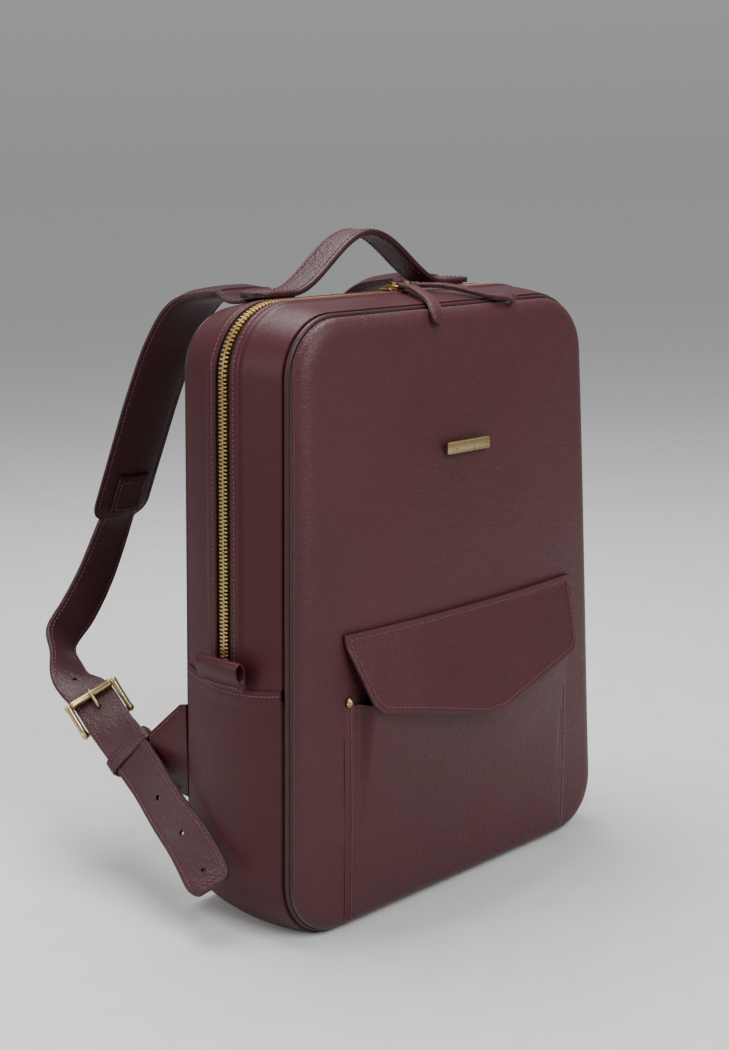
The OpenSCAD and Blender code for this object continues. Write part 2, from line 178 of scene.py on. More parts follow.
def metal(name, colour, dark, rough=0.27):
    """Antique brass: rubbed bright with darker patina in patches, and fine scratches."""
    n = Nodes(name)
    patina, scratch = n.noise(260, 4, 0.65), n.noise(900, 2, 0.5, n.stretched((1, 9, 1)))
    tint = n.ramp(patina, [(0.22, dark), (0.42, colour), (0.8, shade(colour, 1.12))])
    gloss = n.spread(n.parts(patina, 0.7, scratch, 0.3), rough + 0.12, rough - 0.06)
    return n.surface(tint, gloss, n.bump(scratch, 0.00006, 0.6), Metallic=1.0)


def woven(name, colour, pitch, rough, sheen):
    """Close plain weave: threads over and under, with slubs and a soft bloom."""
    n = Nodes(name)
    count = 1 / pitch / 2 / math.pi * 10
    across, up = n.waves(count, "DIAGONAL"), n.waves(count, "Z")
    weave = n.math("MULTIPLY", n.math("ADD", across, 0.15), n.math("ADD", up, 0.15))
    slub = n.noise(240, 3, 0.6)
    tint = n.ramp(n.parts(weave, 0.6, slub, 0.5),
                  [(0.15, shade(colour, 0.62)), (0.5, colour), (0.95, shade(colour, 1.3))])
    return n.surface(tint, n.spread(slub, rough - 0.06, rough + 0.08), n.bump(weave, 0.0003, 0.6),
                     Sheen_Weight=sheen, Sheen_Roughness=0.5)


def twisted(name, colour):
    """Waxed thread: lighter twist lines on a darker lay."""
    n = Nodes(name)
    twist, wax = n.waves(520, "DIAGONAL", 2.0), n.noise(300, 2)
    tint = n.ramp(n.parts(twist, 0.6, wax, 0.4),
                  [(0.2, shade(colour, 0.7)), (0.6, colour), (0.9, shade(colour, 1.25))])
    return n.surface(tint, n.spread(wax, 0.5, 0.65), n.bump(twist, 0.00012, 0.5))


def edge_paint(name, colour):
    """Painted cut edge: smoother than the leather, with brush ripples and rubbed spots."""
    n = Nodes(name)
    ripple, rub = n.noise(220, 3, 0.6, n.stretched((1, 1, 3))), n.noise(60, 3)
    tint = n.ramp(rub, [(0.3, shade(colour, 0.8)), (0.55, colour), (0.75, shade(colour, 1.3))])
    return n.surface(tint, n.spread(ripple, 0.4, 0.55), n.bump(ripple, 0.0003, 0.4), Specular_IOR_Level=0.28)


def board_card(name, colour):
    n = Nodes(name)
    fibre = n.noise(300, 4, 0.7, n.stretched((1, 4, 1)))
    return n.surface(n.ramp(fibre, [(0.3, shade(colour, 0.8)), (0.7, shade(colour, 1.2))]),
                     n.spread(fibre, 0.7, 0.85), n.bump(fibre, 0.0002, 0.5))


WINE = linear(64, 30, 34)
LEATHER = leather("burgundy_leather", WINE, 0.44, 2.6, shine=0.26)
# gusset leather: its grain runs round the bag, and its darker, redder colour is painted shade on the gussets,
# top to base
LEATHER_SIDE_SHADED = leather("burgundy_leather_side_shaded", linear(60, 22, 27), 0.42, 0.7, (1.0, 1.3, 1.0), 0.17)
LEATHER_STRAP = leather("burgundy_strap_leather", linear(56, 26, 30), 0.42, 3.0, (1.0, 1.0, 1.3), 0.26)
# a darker copy of the burgundy leather: painted shade on the shoulder pads, their patches and roots, the back
# cushions and the flap's underside
LEATHER_SOFT_SHADED = leather("burgundy_leather_soft_shaded", shade(WINE, 0.62), 0.6, 1.2, (1.0, 1.0, 1.2), 0.12)
# the piping is the burgundy leather darkened: painted shade in the seam grooves
LEATHER_WELT_SHADED = leather("burgundy_leather_welt_shaded", shade(WINE, 0.62), 0.4, 0.5)
EDGE = edge_paint("painted_edge", linear(56, 28, 31))
THREAD = twisted("wine_thread", linear(106, 56, 63))
BRASS = metal("antique_brass", linear(178, 156, 116), linear(104, 82, 52))
ZIP_BRASS = metal("zip_brass", linear(190, 162, 104), linear(104, 80, 44), 0.3)
TAPE = woven("zip_tape_cloth", linear(40, 20, 23), 0.0011, 0.85, 0.1)
LINING = woven("lining_cloth", linear(60, 44, 47), 0.0009, 0.8, 0.4)
# the walls of the strap holes, darker than the edge paint: painted shade inside the holes
HOLE_SHADE = edge_paint("hole_wall_shade", linear(34, 18, 20))
BOARD = board_card("base_card", linear(70, 62, 56))


# ---- points and paths ----
def xyz(x, y, z):
    """Points from three coordinates, each an array or a single value."""
    return np.stack(np.broadcast_arrays(x, y, z), -1).astype(float)


def circle(count):
    return np.linspace(0, 2 * math.pi, count, endpoint=False)


def unit(v):
    return v / np.maximum(np.linalg.norm(v, axis=-1, keepdims=True), 1e-9)


def ease(a, b, x):
    t = np.clip((np.asarray(x, float) - a) / (b - a), 0, 1)
    return t * t * (3 - 2 * t)


def box_mm(node):
    """The two far corners of a CAD node."""
    return [np.array(corner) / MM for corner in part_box(node)]


def spline(points, per=8):
    """Points along a smooth curve through the given ones."""
    p = np.asarray(points, float)
    p = np.vstack([2 * p[0] - p[1], p, 2 * p[-1] - p[-2]])
    t = np.arange(per)[:, None] / per
    out = []
    for a, b, c, d in zip(p, p[1:], p[2:], p[3:]):
        out.append(0.5 * (2 * b + (c - a) * t + (2 * a - 5 * b + 4 * c - d) * t * t
                          + (3 * b - 3 * c + d - a) * t ** 3))
    return np.vstack(out + [p[-2:-1]])


def run_of(path):
    """The way gone at each point of a path."""
    return np.concatenate([[0], np.cumsum(np.linalg.norm(np.diff(path, axis=0), axis=1))])


def frames(path, wide):
    """Ahead, across and out directions at each point of a path, from rough width directions."""
    ahead = unit(np.gradient(path, axis=0))
    across = unit(wide - ahead * np.sum(wide * ahead, axis=1, keepdims=True))
    return ahead, across, np.cross(ahead, across)


def upward(out):
    return out * np.where(out[:, 2:] > 0, 1, -1)


def swept(path, across, out, section, wide=1.0, thick=1.0):
    """Rings of a section of [across, out] points along a path, scaled in both directions."""
    section = np.asarray(section, float)
    wide, thick = (np.broadcast_to(k, len(path))[:, None, None] for k in (wide, thick))
    return path[:, None] + across[:, None] * section[:, :1] * wide + out[:, None] * section[:, 1:] * thick


def turned_x(profile, y, z, count):
    """Rings of (x, radius) points turned about a line along X."""
    return np.array([[(x, y + r * math.cos(a), z + r * math.sin(a)) for a in circle(count)]
                     for x, r in profile])


def blunt_end(left, reach, over, least):
    """Width of a strap near its rounded end, as a share of the whole."""
    curve = np.sqrt(np.clip(1 - ((reach - left) / over) ** 2, 0.002, 1))
    return np.where(left < reach, curve * (1 - least) + least, 1.0)


def bumpy(points, size, depth, seed=0.0):
    """Smooth wandering height over the X and Z of each point."""
    points = np.asarray(points, float)
    shift = Vector((seed, seed, seed))
    flat = (points * [1, 0, 1]).reshape(-1, 3)
    return np.array([depth * noise.noise(Vector(p) / size + shift) for p in flat]).reshape(points.shape[:-1])


def outline_of(grid):
    """Once round the edge of a grid, ending where it starts."""
    return np.concatenate([grid[0], grid[1:, -1], grid[-1, ::-1][1:], grid[::-1, 0][1:]])


# ---- mesh helpers ----
def mesh_piece(name, verts, faces, materials, which=None, sharp=50):
    """A mesh object from millimetre points, with its normals turned outwards and its hard edges kept."""
    data = bpy.data.meshes.new(name)
    data.from_pydata((np.asarray(verts, float).reshape(-1, 3) * MM).tolist(), [], [tuple(f) for f in faces])
    for material in materials if isinstance(materials, (list, tuple)) else [materials]:
        data.materials.append(material)
    if which is not None:
        data.polygons.foreach_set("material_index", np.asarray(which, np.int32))
    work = bmesh.new()
    work.from_mesh(data)
    bmesh.ops.recalc_face_normals(work, faces=work.faces)
    work.to_mesh(data)
    work.free()
    data.shade_smooth()
    data.set_sharp_from_angle(angle=math.radians(sharp))
    obj = bpy.data.objects.new(name, data)
    bpy.context.scene.collection.objects.link(obj)
    return obj


def quads(m, n, wrap_m=False, wrap_n=False):
    """Faces of an m by n grid of points."""
    cells = np.arange(m * n).reshape(m, n)
    if wrap_m:
        cells = np.vstack([cells, cells[:1]])
    if wrap_n:
        cells = np.hstack([cells, cells[:, :1]])
    corners = [cells[:-1, :-1], cells[1:, :-1], cells[1:, 1:], cells[:-1, 1:]]
    return np.stack(corners, -1).reshape(-1, 4).tolist()


def caps(m, n):
    """The two end faces of m rings of n points."""
    return [list(range(n)), list(range((m - 1) * n, m * n))]


def loft(name, rings, materials, painted=(), closed=False, sharp=50):
    """A skin through rings of points, with capped ends unless it closes on itself.
    Ring segments listed in painted take material 1, and then so do the caps."""
    m, n = np.shape(rings)[:2]
    faces = quads(m, n, closed, True)
    which = [int(k % n in painted) for k in range(len(faces))]
    if not closed:
        faces += caps(m, n)
        which += [int(bool(painted))] * 2
    return mesh_piece(name, rings, faces, materials, which, sharp)


def ribbon(name, path, wide, section, materials, painted=(), widths=1.0, sharp=50):
    """A section of [across, out] points swept along a path."""
    _, across, out = frames(path, wide)
    return loft(name, swept(path, across, out, section, widths), materials, painted, sharp=sharp)


def sheet_piece(name, outer, inner, materials, sharp=50):
    """A closed sheet between two grids of points: material 0 outside, 1 on the cut edge, the last inside."""
    m, n = outer.shape[:2]
    top = quads(m, n)
    back = (np.array(top) + m * n).tolist()
    rim = outline_of(np.arange(m * n).reshape(m, n))
    edge = np.stack([rim[:-1], rim[1:], rim[1:] + m * n, rim[:-1] + m * n], -1).tolist()
    last = len(materials) - 1
    which = [0] * len(top) + [last] * len(back) + [min(1, last)] * len(edge)
    return mesh_piece(name, np.concatenate([outer, inner]), top + back + edge, materials, which, sharp)


def rounded(obj, width, segments=3, angle=35):
    """Rounds the hard edges of a piece."""
    work = bmesh.new()
    work.from_mesh(obj.data)
    edges = [e for e in work.edges if e.is_manifold and e.calc_face_angle(0) > math.radians(angle)]
    bmesh.ops.bevel(work, geom=edges, offset=width * MM, segments=segments, profile=0.5,
                    affect="EDGES", clamp_overlap=True)
    work.to_mesh(obj.data)
    work.free()
    obj.data.shade_smooth()
    obj.data.set_sharp_from_angle(angle=math.radians(50))
    return obj


def joined(name, pieces):
    """One object from several, with their materials kept."""
    first = pieces[0]
    with bpy.context.temp_override(active_object=first, selected_editable_objects=pieces, object=first,
                                   selected_objects=pieces):
        bpy.ops.object.join()
    first.name = first.data.name = name
    return first


def block(name, low, high, material, bevel):
    x, y, z = zip(low, high)
    corners = [(a, b, c) for a in x for b in y for c in z]
    faces = [(0, 1, 3, 2), (4, 5, 7, 6), (0, 1, 5, 4), (2, 3, 7, 6), (0, 2, 6, 4), (1, 3, 7, 5)]
    return rounded(mesh_piece(name, corners, faces, material), bevel)


def tube(path, radius, material, sides=16):
    ahead = unit(np.gradient(path, axis=0))
    side = unit(np.cross(ahead, ALONG_Z if abs(ahead[0, 2]) < 0.9 else ALONG_Y))
    up = np.cross(side, ahead)
    radius = np.broadcast_to(radius, len(path))
    return loft("tube", [[p + r * (s * math.cos(a) + u * math.sin(a)) for a in circle(sides)]
                         for p, s, u, r in zip(path, side, up, radius)], material)


def wire_loop(name, corners, radius, material, fillet=1.2):
    """A closed ring of round wire through the corners of a flat shape, each corner rounded."""
    corners = np.asarray(corners, float)
    path = []
    for k, c in enumerate(corners):
        before, after = unit(corners[k - 1] - c), unit(corners[(k + 1) % len(corners)] - c)
        for t in np.linspace(0, 1, 7):
            path.append(c + before * fillet * (1 - t) ** 2 + after * fillet * t ** 2)
    path = np.array(path)
    normal = unit(np.cross(corners[1] - corners[0], corners[2] - corners[1]))
    side = np.cross(unit(np.roll(path, -1, 0) - np.roll(path, 1, 0)), normal)
    return loft(name, [[p + radius * (s * math.cos(a) + normal * math.sin(a)) for a in circle(12)]
                       for p, s in zip(path, side)], material, closed=True)


def placed(obj, body, replaces=(), blend=None):
    """Rides the piece on its body, or, when it is given a blend, bakes it in place unparented, and hides the
    CAD parts it stands for.
    """
    if blend:
        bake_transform(obj)
    else:
        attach(obj, body)
    if replaces:
        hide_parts(*replaces)


def round_section(half, thick, bevel=1.0, notch=0.35):
    """Two plies of leather, glued and painted along the edge, as [across, out] points."""
    t = thick / 2
    right = [(half - bevel * 1.6, t), (half - bevel * 0.5, t - 0.12), (half - 0.1, t - 0.55), (half, 0.25),
             (half - notch, 0), (half, -0.25), (half - 0.1, 0.55 - t), (half - bevel * 0.5, 0.12 - t),
             (half - bevel * 1.6, -t)]
    return np.array(right + [(-a, b) for a, b in right[::-1]])


PAINTED = {2, 3, 4, 5, 11, 12, 13, 14}       # the segments of that section on its two edges

# one stitch, as (way along, radius, height) of its rings
STITCH_SHAPE = [(-0.5, 0.25, -0.5), (-0.42, 0.8, 0.1), (-0.2, 1.0, 0.45), (0.2, 1.0, 0.45),
                (0.42, 0.8, 0.1), (0.5, 0.25, -0.5)]
STITCH_SIDES, STITCH_SLANT = 6, 0.12


def sew(name, rows, body, blend=None, pitch=3.3, length=2.5, radius=0.36, lift=0.12):
    """Saddle stitches along rows of (points, outward directions), as one mesh of small thread ends."""
    verts, faces = [], []
    one = np.array([(along * length, r * radius * math.cos(a), (up + r * math.sin(a)) * radius)
                    for along, r, up in STITCH_SHAPE for a in circle(STITCH_SIDES)])
    thread = quads(len(STITCH_SHAPE), STITCH_SIDES, wrap_n=True) + caps(len(STITCH_SHAPE), STITCH_SIDES)
    for points, outward in rows:
        points = np.asarray(points, float)
        outward = np.broadcast_to(outward, points.shape)
        gone = run_of(points)
        at = np.linspace(0, gone[-1], max(2, int(round(gone[-1] / pitch)) + 1))
        fine, up = (np.stack([np.interp(at, gone, values[:, k]) for k in range(3)], 1)
                    for values in (points, outward))
        up = unit(up)
        up = unit(up[1:] + up[:-1])
        mid, along = (fine[1:] + fine[:-1]) / 2, unit(fine[1:] - fine[:-1])
        side = unit(np.cross(along, up))
        for c, t, s, u in zip(mid, along, side, np.cross(side, along)):
            start = len(verts)
            slant = unit(t + s * STITCH_SLANT)
            verts.extend(c + u * lift + one[:, :1] * slant + one[:, 1:2] * s + one[:, 2:] * u)
            faces.extend([[k + start for k in f] for f in thread])
    placed(mesh_piece(name, verts, faces, THREAD, sharp=80), body, (), blend)


def edge_rows(path, across, out, reach, rise, keep=slice(None), mirror=1, faces=(1, -1)):
    """Rows of stitches along both edges of a strap, on one or both of its faces."""
    return [((path + across * edge * reach + out * face * rise)[keep] * mirror, (out * face)[keep] * mirror)
            for face in faces for edge in (1, -1)]


# ---- the bag's shape ----
BAG_H, CORNER, HALF_D, CROWN, WALL = 400, 40, 50, 6, 3
BASE_CX, TAPER = 112, 11
TOP_CX, TOP_CZ = BASE_CX - TAPER, BAG_H - CORNER
LEAN_RAD = math.asin(TAPER / math.hypot(TAPER, TOP_CZ - CORNER))
LEAN = math.degrees(LEAN_RAD)
SEAM_Y = 46
ZIP_Y, TAPE_FRONT, TAPE_REAR, EDGE_FRONT, EDGE_REAR = 3, -7, 15, -3.8, 10.6
SEAM_Z, FOLD_Z = 166, 204
HUB = np.array([0, 0, 203.0])                # the middle of the front and the back
STEP, CORNER_STEP = 4.0, 2.6                 # between rings on the straights and in the corners


def hoop_table():
    """Round the bag from the middle of the base: arc length, centre of curvature and angle of the outline."""
    def run(a, b, angle, n):
        return [(a[0] + (b[0] - a[0]) * t, a[1] + (b[1] - a[1]) * t, angle) for t in np.linspace(0, 1, n)]

    def turn(c, a0, a1, n):
        return [(c[0], c[1], a) for a in np.linspace(a0, a1, n)]
    low, high = (BASE_CX, CORNER), (TOP_CX, TOP_CZ)
    half = (run((0, CORNER), low, -90, 30) + turn(low, -90, LEAN, 40) + run(low, high, LEAN, 80)
            + turn(high, LEAN, 90, 40) + run(high, (0, TOP_CZ), 90, 30))
    table = np.array(half + [(-x, z, 180 - a) for x, z, a in half[::-1]])
    rad = np.radians(table[:, 2])
    gone = run_of(table[:, :2] + CORNER * np.stack([np.cos(rad), np.sin(rad)], 1))
    keep = np.concatenate([[True], np.diff(gone) > 1e-6])
    return np.column_stack([gone, table])[keep]


HOOP = hoop_table()
ROUND = HOOP[-1, 0]                          # the whole way round, at the seams
CORNER_END = BASE_CX + CORNER * math.radians(90 + LEAN)


def right_at(z):
    """Arc length at a height on the bag's right side; the left side's is ROUND minus it."""
    return CORNER_END + (z - CORNER) / math.cos(LEAN_RAD)


def crown(y):
    return CROWN * (1 - (np.asarray(y, float) / HALF_D) ** 2)


def hoop_at(s):
    """Centre of curvature and outline angle at an arc length."""
    x, z, a = (np.interp(s, HOOP[:, 0], HOOP[:, k]) for k in (1, 2, 3))
    return x, z, np.radians(a)


def on_hoop(s, y, off, with_normal=False):
    """Points on the gussets: s round the bag, y through its depth, off from the leather's face."""
    x, z, a = hoop_at(np.mod(np.asarray(s, float), ROUND))
    x, z, a, y, reach = np.broadcast_arrays(x, z, a, y, CORNER + crown(y) + off)
    points = xyz(x + reach * np.cos(a), y, z + reach * np.sin(a))
    if with_normal:
        return points, unit(xyz(np.cos(a), 2 * CROWN * y / HALF_D ** 2, np.sin(a)))
    return points


def steps(s0, s1):
    """Arc lengths from s0 to s1, closer together in the corners."""
    marks = [s0]
    while marks[-1] < s1 - 0.5:
        a = np.interp(np.mod([marks[-1], marks[-1] + 1], ROUND), HOOP[:, 0], HOOP[:, 3])
        marks.append(min(s1, marks[-1] + (STEP if abs(a[1] - a[0]) < 0.01 else CORNER_STEP)))
    return np.array(marks)


def strip(name, profile, s0, s1, materials):
    """A closed profile of (y, off) points taken round the bag from s0 to s1."""
    profile = np.array(profile, float)
    return loft(name, on_hoop(steps(s0, s1)[:, None], profile[:, 0], profile[:, 1]), materials)


def hoop_rings(count):
    x, z, a = hoop_at(np.linspace(0, ROUND, count, endpoint=False))
    return x, z, np.cos(a), np.sin(a)


def ring_at(hoop, inset, y):
    """Once round the bag at a depth, inset from the outline of its seams."""
    x, z, nx, nz = hoop
    return xyz(x + (CORNER - inset) * nx, y, z + (CORNER - inset) * nz)


def towards_hub(count):
    """Shares of the way from a ring to the middle, stopping just short of it."""
    return np.append(np.linspace(0, 1, count)[1:-1], 0.995)


def inset_of(x, z):
    """How far a point on the front lies inside the outline."""
    side = (np.abs(x) - BASE_CX) * math.cos(LEAN_RAD) + (z - CORNER) * math.sin(LEAN_RAD)
    level = np.maximum(z - TOP_CZ, CORNER - z)
    out = np.hypot(np.maximum(side, 0), np.maximum(level, 0)) + np.minimum(np.maximum(side, level), 0)
    return CORNER - out


def front_y(x, z):
    """The padded front: a rounded edge just inside the seam, and a swell in the middle."""
    x, z = np.asarray(x, float), np.asarray(z, float)
    e = np.clip((inset_of(x, z) - 2) / 12, 0, 1)
    edge = 1 + 8.5 * np.sqrt(1 - (1 - e) ** 2)
    swell = np.clip(1 - np.abs(x / 146) ** 2.1, 0, 1) * np.clip(1 - np.abs((z - 203) / 198) ** 2.1, 0, 1)
    return -HALF_D - (edge + 10.3 * swell)


def on_front(x, z, proud=0.0):
    return xyz(x, front_y(x, z) - proud, z)


def front_normal(x, z, d=0.5):
    gx = (front_y(x + d, z) - front_y(x - d, z)) / (2 * d)
    gz = (front_y(x, z + d) - front_y(x, z - d)) / (2 * d)
    return unit(xyz(gx, -1, gz))


FOLD = ("shell", "cover", (0, -72, FOLD_Z - 9), (0, -72, FOLD_Z + 9))


# ---- front panel, piping ----
FRONT_INNER = -46.2                          # the flat inside of the front's padding
# middle, reach and depth of the soft dents where the zip pulls lie and beside them
DENTS = ((-16, 386, 10, 16, 1.6), (58, 393, 12, 10, 1.3), (24, 380, 26, 14, 0.8), (-60, 371, 34, 12, 0.5))


def front_panel():
    hoop = hoop_rings(330)
    edge = [ring_at(hoop, inset, y) for inset, y in ((5.2, -47.0), (4.4, -50.0), (3.2, -51.3), (2.4, -52.5))]
    flat = [ring_at(hoop, inset, 0) for inset in (2.3, 2.9, 3.9, 5.2, 6.9, 9, 11.5, 14.5, 18, 22.5, 27.5, 32)]
    flat += [HUB + (flat[-1] - HUB) * (1 - t) for t in towards_hub(44)]
    x, z = np.array(flat)[..., 0], np.array(flat)[..., 2]
    push = sum(deep * np.exp(-((x - cx) / wide) ** 2 - ((z - cz) / high) ** 2)
               for cx, cz, wide, high, deep in DENTS) + bumpy(flat, 46, 0.5)
    face = on_front(x, z, -push * np.clip((inset_of(x, z) - 3) / 14, 0, 1))
    outer = np.concatenate([edge, face])
    inner = outer.copy()
    inner[..., 1] = np.minimum(FRONT_INNER, outer[..., 1] + 3.2)
    inner[:len(edge), :, 1] = FRONT_INNER
    rings = np.concatenate([inner[::-1], outer])
    m, n = rings.shape[:2]
    faces = quads(m, n, False, True)
    which = [int(k < (len(inner) - 1) * n) for k in range(len(faces))] + [1, 0]
    panel = mesh_piece("front_panel", rings, faces + caps(m, n), [LEATHER, LINING], which, 60)
    placed(panel, None, ("front_panel_lower", "front_panel_upper"), FOLD)


def piping(name, y, way, nodes, blend, radius=1.9):
    """Rolled welt with its flat flange, stitched into the seam; its section is in (inset, y)."""
    section = [(radius - radius * math.cos(a), y + radius * math.sin(a) * way)
               for a in np.linspace(-0.5 * math.pi, 1.2 * math.pi, 12)]
    section += [(4.6, y + 1.2 * way), (4.8, y + 0.2 * way), (3.6, y - 0.6 * way)]
    hoop = hoop_rings(260)
    rings = np.stack([ring_at(hoop, inset, at) for inset, at in section], 1)
    placed(loft(name, rings, LEATHER_WELT_SHADED, closed=True, sharp=60), "shell", nodes, blend)


# ---- side and top leather ----
# the edge beside the zip, turned under and stitched: (back from the edge, height)
TURNED_EDGE = ((9.4, 0.05), (8.9, 0.55), (8.2, 0.85), (6.0, 0.95), (4.2, 0.72), (3.6, 0.5), (3.0, 0.72),
               (1.2, 0.95), (0.35, 0.7), (0, 0.1), (0.2, -0.8), (1.5, -1.1), (11, -1.3), (14, -WALL))
STITCH_BACK = 3.6


def gussets():
    right, left = right_at(SEAM_Z - 7), ROUND - right_at(SEAM_Z - 7)
    for name, y0, y1, way, nodes, blend in (
            ("front_gusset_leather", -SEAM_Y, EDGE_FRONT, 1, ("front_gusset", "gusset_foot"), FOLD),
            ("rear_gusset_leather", SEAM_Y, EDGE_REAR, -1, ("rear_gusset",), None)):
        plain = y0 + (y1 - y0) * np.linspace(0, 1, 7)[:-1]
        profile = [(y, 0.0) for y in plain if abs(y - y1) > 11]
        profile += [(y1 - way * back, off) for back, off in TURNED_EDGE] + [(y0, -WALL)]
        placed(strip(name, profile, right, left, LEATHER_SIDE_SHADED), "shell", nodes, blend)
        seam = on_hoop(np.arange(right + 4, left - 4, 1.5), y1 - way * STITCH_BACK, 0.5, True)
        sew(name + "_stitches", [seam], "shell", blend=blend)


def base_gusset():
    """One piece under the bag and up both sides, its top edges turned, stitched and slightly dished."""
    y = np.linspace(-SEAM_Y, SEAM_Y, 25)
    s = steps(ROUND - right_at(SEAM_Z), ROUND + right_at(SEAM_Z))
    dish = 5.0 * (1 - (y / SEAM_Y) ** 2)
    outer, inner = [], []
    for one in s:
        ends = min(one - s[0], s[-1] - one)
        shift = dish * np.exp(-(ends / 30) ** 2) * (1 if one - s[0] < s[-1] - one else -1)
        lift = 0.55 if ends < 0.8 else 0.9 * (1 - np.clip((ends - 8) / 1.5, 0, 1))
        outer.append(on_hoop(one + shift, y, 0.7 + lift))
        inner.append(on_hoop(one + shift, y, -WALL))
    outer, inner = np.array(outer), np.array(inner)
    outer[..., 2], inner[..., 2] = np.maximum(outer[..., 2], 0), np.maximum(inner[..., 2], 1.2)
    obj = sheet_piece("base_gusset_leather", outer, inner, [LEATHER_SIDE_SHADED, EDGE, LINING], sharp=60)
    placed(obj, "shell", ("base_gusset",))
    at = right_at(SEAM_Z) - 3.4 - dish
    sew("base_seam_stitches", [on_hoop(s, y, 1.5, True) for s in (at, ROUND - at)], "shell")


# ---- zip ----
TOOTH_PITCH, TOOTH_HALF = 2.5, 0.78
# a waisted block with a rounded nose that reaches past the middle line: (reach, share of the width)
TOOTH = np.array([(3.7, 0.62), (3.2, 0.95), (1.6, 0.95), (0.6, 0.8), (-0.3, 0.95), (-0.9, 0.7)])
TOOTH_SECTION = np.array([(-1, -1.2), (1, -1.2), (1, 0.3), (0.6, 0.75), (-0.6, 0.75), (-1, 0.3)])


def zip_rows():
    right, left = right_at(SEAM_Z), ROUND - right_at(SEAM_Z)
    rows, points = len(TOOTH), len(TOOTH_SECTION)
    one = quads(rows, points, wrap_n=True) + caps(rows, points)
    halves = (("front", -1, TAPE_FRONT, 0.0, True, FOLD), ("rear", 1, TAPE_REAR, 0.5, False, None))
    for end, way, edge, _, foot, blend in halves:
        y0, y1 = sorted((edge, ZIP_Y + 0.3 * way))
        profile = [(y0, -1.7), (y1, -1.7), (y1, -2.7), (y0, -2.7)]
        tape = strip(f"zip_tape_{end}_cloth", profile, right, left, TAPE)
        placed(tape, "shell", (f"zip_tape_{end}",) + ("zip_foot_tape",) * foot, blend)
    for end, way, _, phase, foot, blend in halves:
        s = right + (np.arange(int((left - right) / TOOTH_PITCH)) + phase) * TOOTH_PITCH + 1
        verts = on_hoop(s[:, None, None] + TOOTH_HALF * TOOTH[:, 1:] * TOOTH_SECTION[:, 0],
                        ZIP_Y + way * (TOOTH[:, :1] + 0.1), TOOTH_SECTION[:, 1])
        faces = [[q + k * rows * points for q in f] for k in range(len(s)) for f in one]
        teeth = mesh_piece(f"zip_teeth_{end}_row", verts, faces, ZIP_BRASS, sharp=40)
        placed(teeth, "shell", (f"zip_teeth_{end}",) + ("zip_foot_teeth",) * foot, blend)


# ---- front pocket, flap, plate ----
POCKET_HALF, POCKET_TOP, SWELL_Z, SWELL, SOFT = 112, 152, 84, math.tan(math.radians(10.3)), 18
RIVET_Y = -65.8
RIVET = ((3.25, -0.6), (3.35, 0.3), (3.1, 0.75), (2.6, 0.95), (2.35, 0.9), (2.1, 1.3), (1.5, 1.8),
         (0.6, 2.05), (0.1, 2.08))
FLAP_PIVOT = (-73.0, 195.0)
FLAP_TOP, FLAP_HALF, FLAP_FLARE = 199, 112, 19.5
FLAP_TIP, FLAP_CORNER_RISE = 123, 25         # lowest point, and how much higher its corners are


def pocket_front(x, z):
    """How far the pocket's face stands out from the padded front."""
    above = z - SWELL_Z
    rise = SWELL * (above + np.sqrt(above ** 2 + SOFT ** 2)) / 2
    rise = np.maximum(rise - SWELL * (np.sqrt(76.0 ** 2 + SOFT ** 2) - 76) / 2, 0)
    skin = 0.3 + 1.8 * (1 - ease(104, POCKET_HALF, np.abs(x))) * ease(3, 9, inset_of(x, z))
    return skin + rise * (1 - ease(96.5, 102.5, np.abs(x)))


def pocket():
    x = np.concatenate([np.linspace(-POCKET_HALF, -93, 22), np.linspace(-93, 93, 64)[1:-1],
                        np.linspace(93, POCKET_HALF, 22)])
    z = np.concatenate([np.linspace(4.5, 22, 10), np.linspace(22, POCKET_TOP, 44)[1:]])
    gx, gz = np.meshgrid(x, z)
    out = on_front(gx, gz, pocket_front(gx, gz))
    out[..., 1] += bumpy(out, 40, 0.5, 5.0) * ease(112, 96, np.abs(gx)) * ease(8, 30, gz)
    back = on_front(gx, gz, np.maximum(pocket_front(gx, gz) - 1.8, 0.05))
    obj = sheet_piece("pocket_leather", out, back, [LEATHER, EDGE, LINING], sharp=60)
    placed(obj, "shell", ("pocket_sheet", "pocket_gusset_left", "pocket_gusset_right"))
    z = np.linspace(6.5, 154, 120)
    rows = [(on_front(x, z, pocket_front(x, z) + 0.1), front_normal(x, z)) for x in (-107.5, 107.5)]
    sew("pocket_stitches", rows, "shell")
    for _, name in SIDES:
        low, high = box_mm("pocket_rivet_" + name)
        cx, _, cz = (low + high) / 2
        rings = [[(cx + r * math.cos(a), RIVET_Y - up, cz + r * math.sin(a)) for a in circle(24)]
                 for r, up in RIVET]
        placed(loft("rivet_" + name, rings, BRASS), "shell", ("pocket_rivet_" + name,))


def flap_grid(proud, inset=0.0):
    gu, gv = np.meshgrid(np.linspace(-1, 1, 61), np.linspace(0, 1, 26))
    # the lower edge runs from each corner down to the tip, with the tip and the corners rounded off
    bottom = FLAP_TIP + FLAP_CORNER_RISE * np.abs(gu) + 3.0 * np.exp(-(gu / 0.05) ** 2)
    bottom = bottom + 5 * np.clip((np.abs(gu) - 0.955) / 0.045, 0, 1) ** 2
    z = FLAP_TOP - inset + (bottom - FLAP_TOP + 2 * inset) * gv
    x = gu * (FLAP_HALF - 12 * ((195 - z) / 47).clip(0, 1.2) - inset)
    # below the fold the flap swings out by its flare
    angle = math.radians(FLAP_FLARE) * ease(0, 7, np.maximum(FLAP_PIVOT[1] - z, 0))
    dy, dz = front_y(x, z) - proud - FLAP_PIVOT[0], z - FLAP_PIVOT[1]
    return xyz(x, FLAP_PIVOT[0] + dy * np.cos(angle) + dz * np.sin(angle),
               FLAP_PIVOT[1] - dy * np.sin(angle) + dz * np.cos(angle))


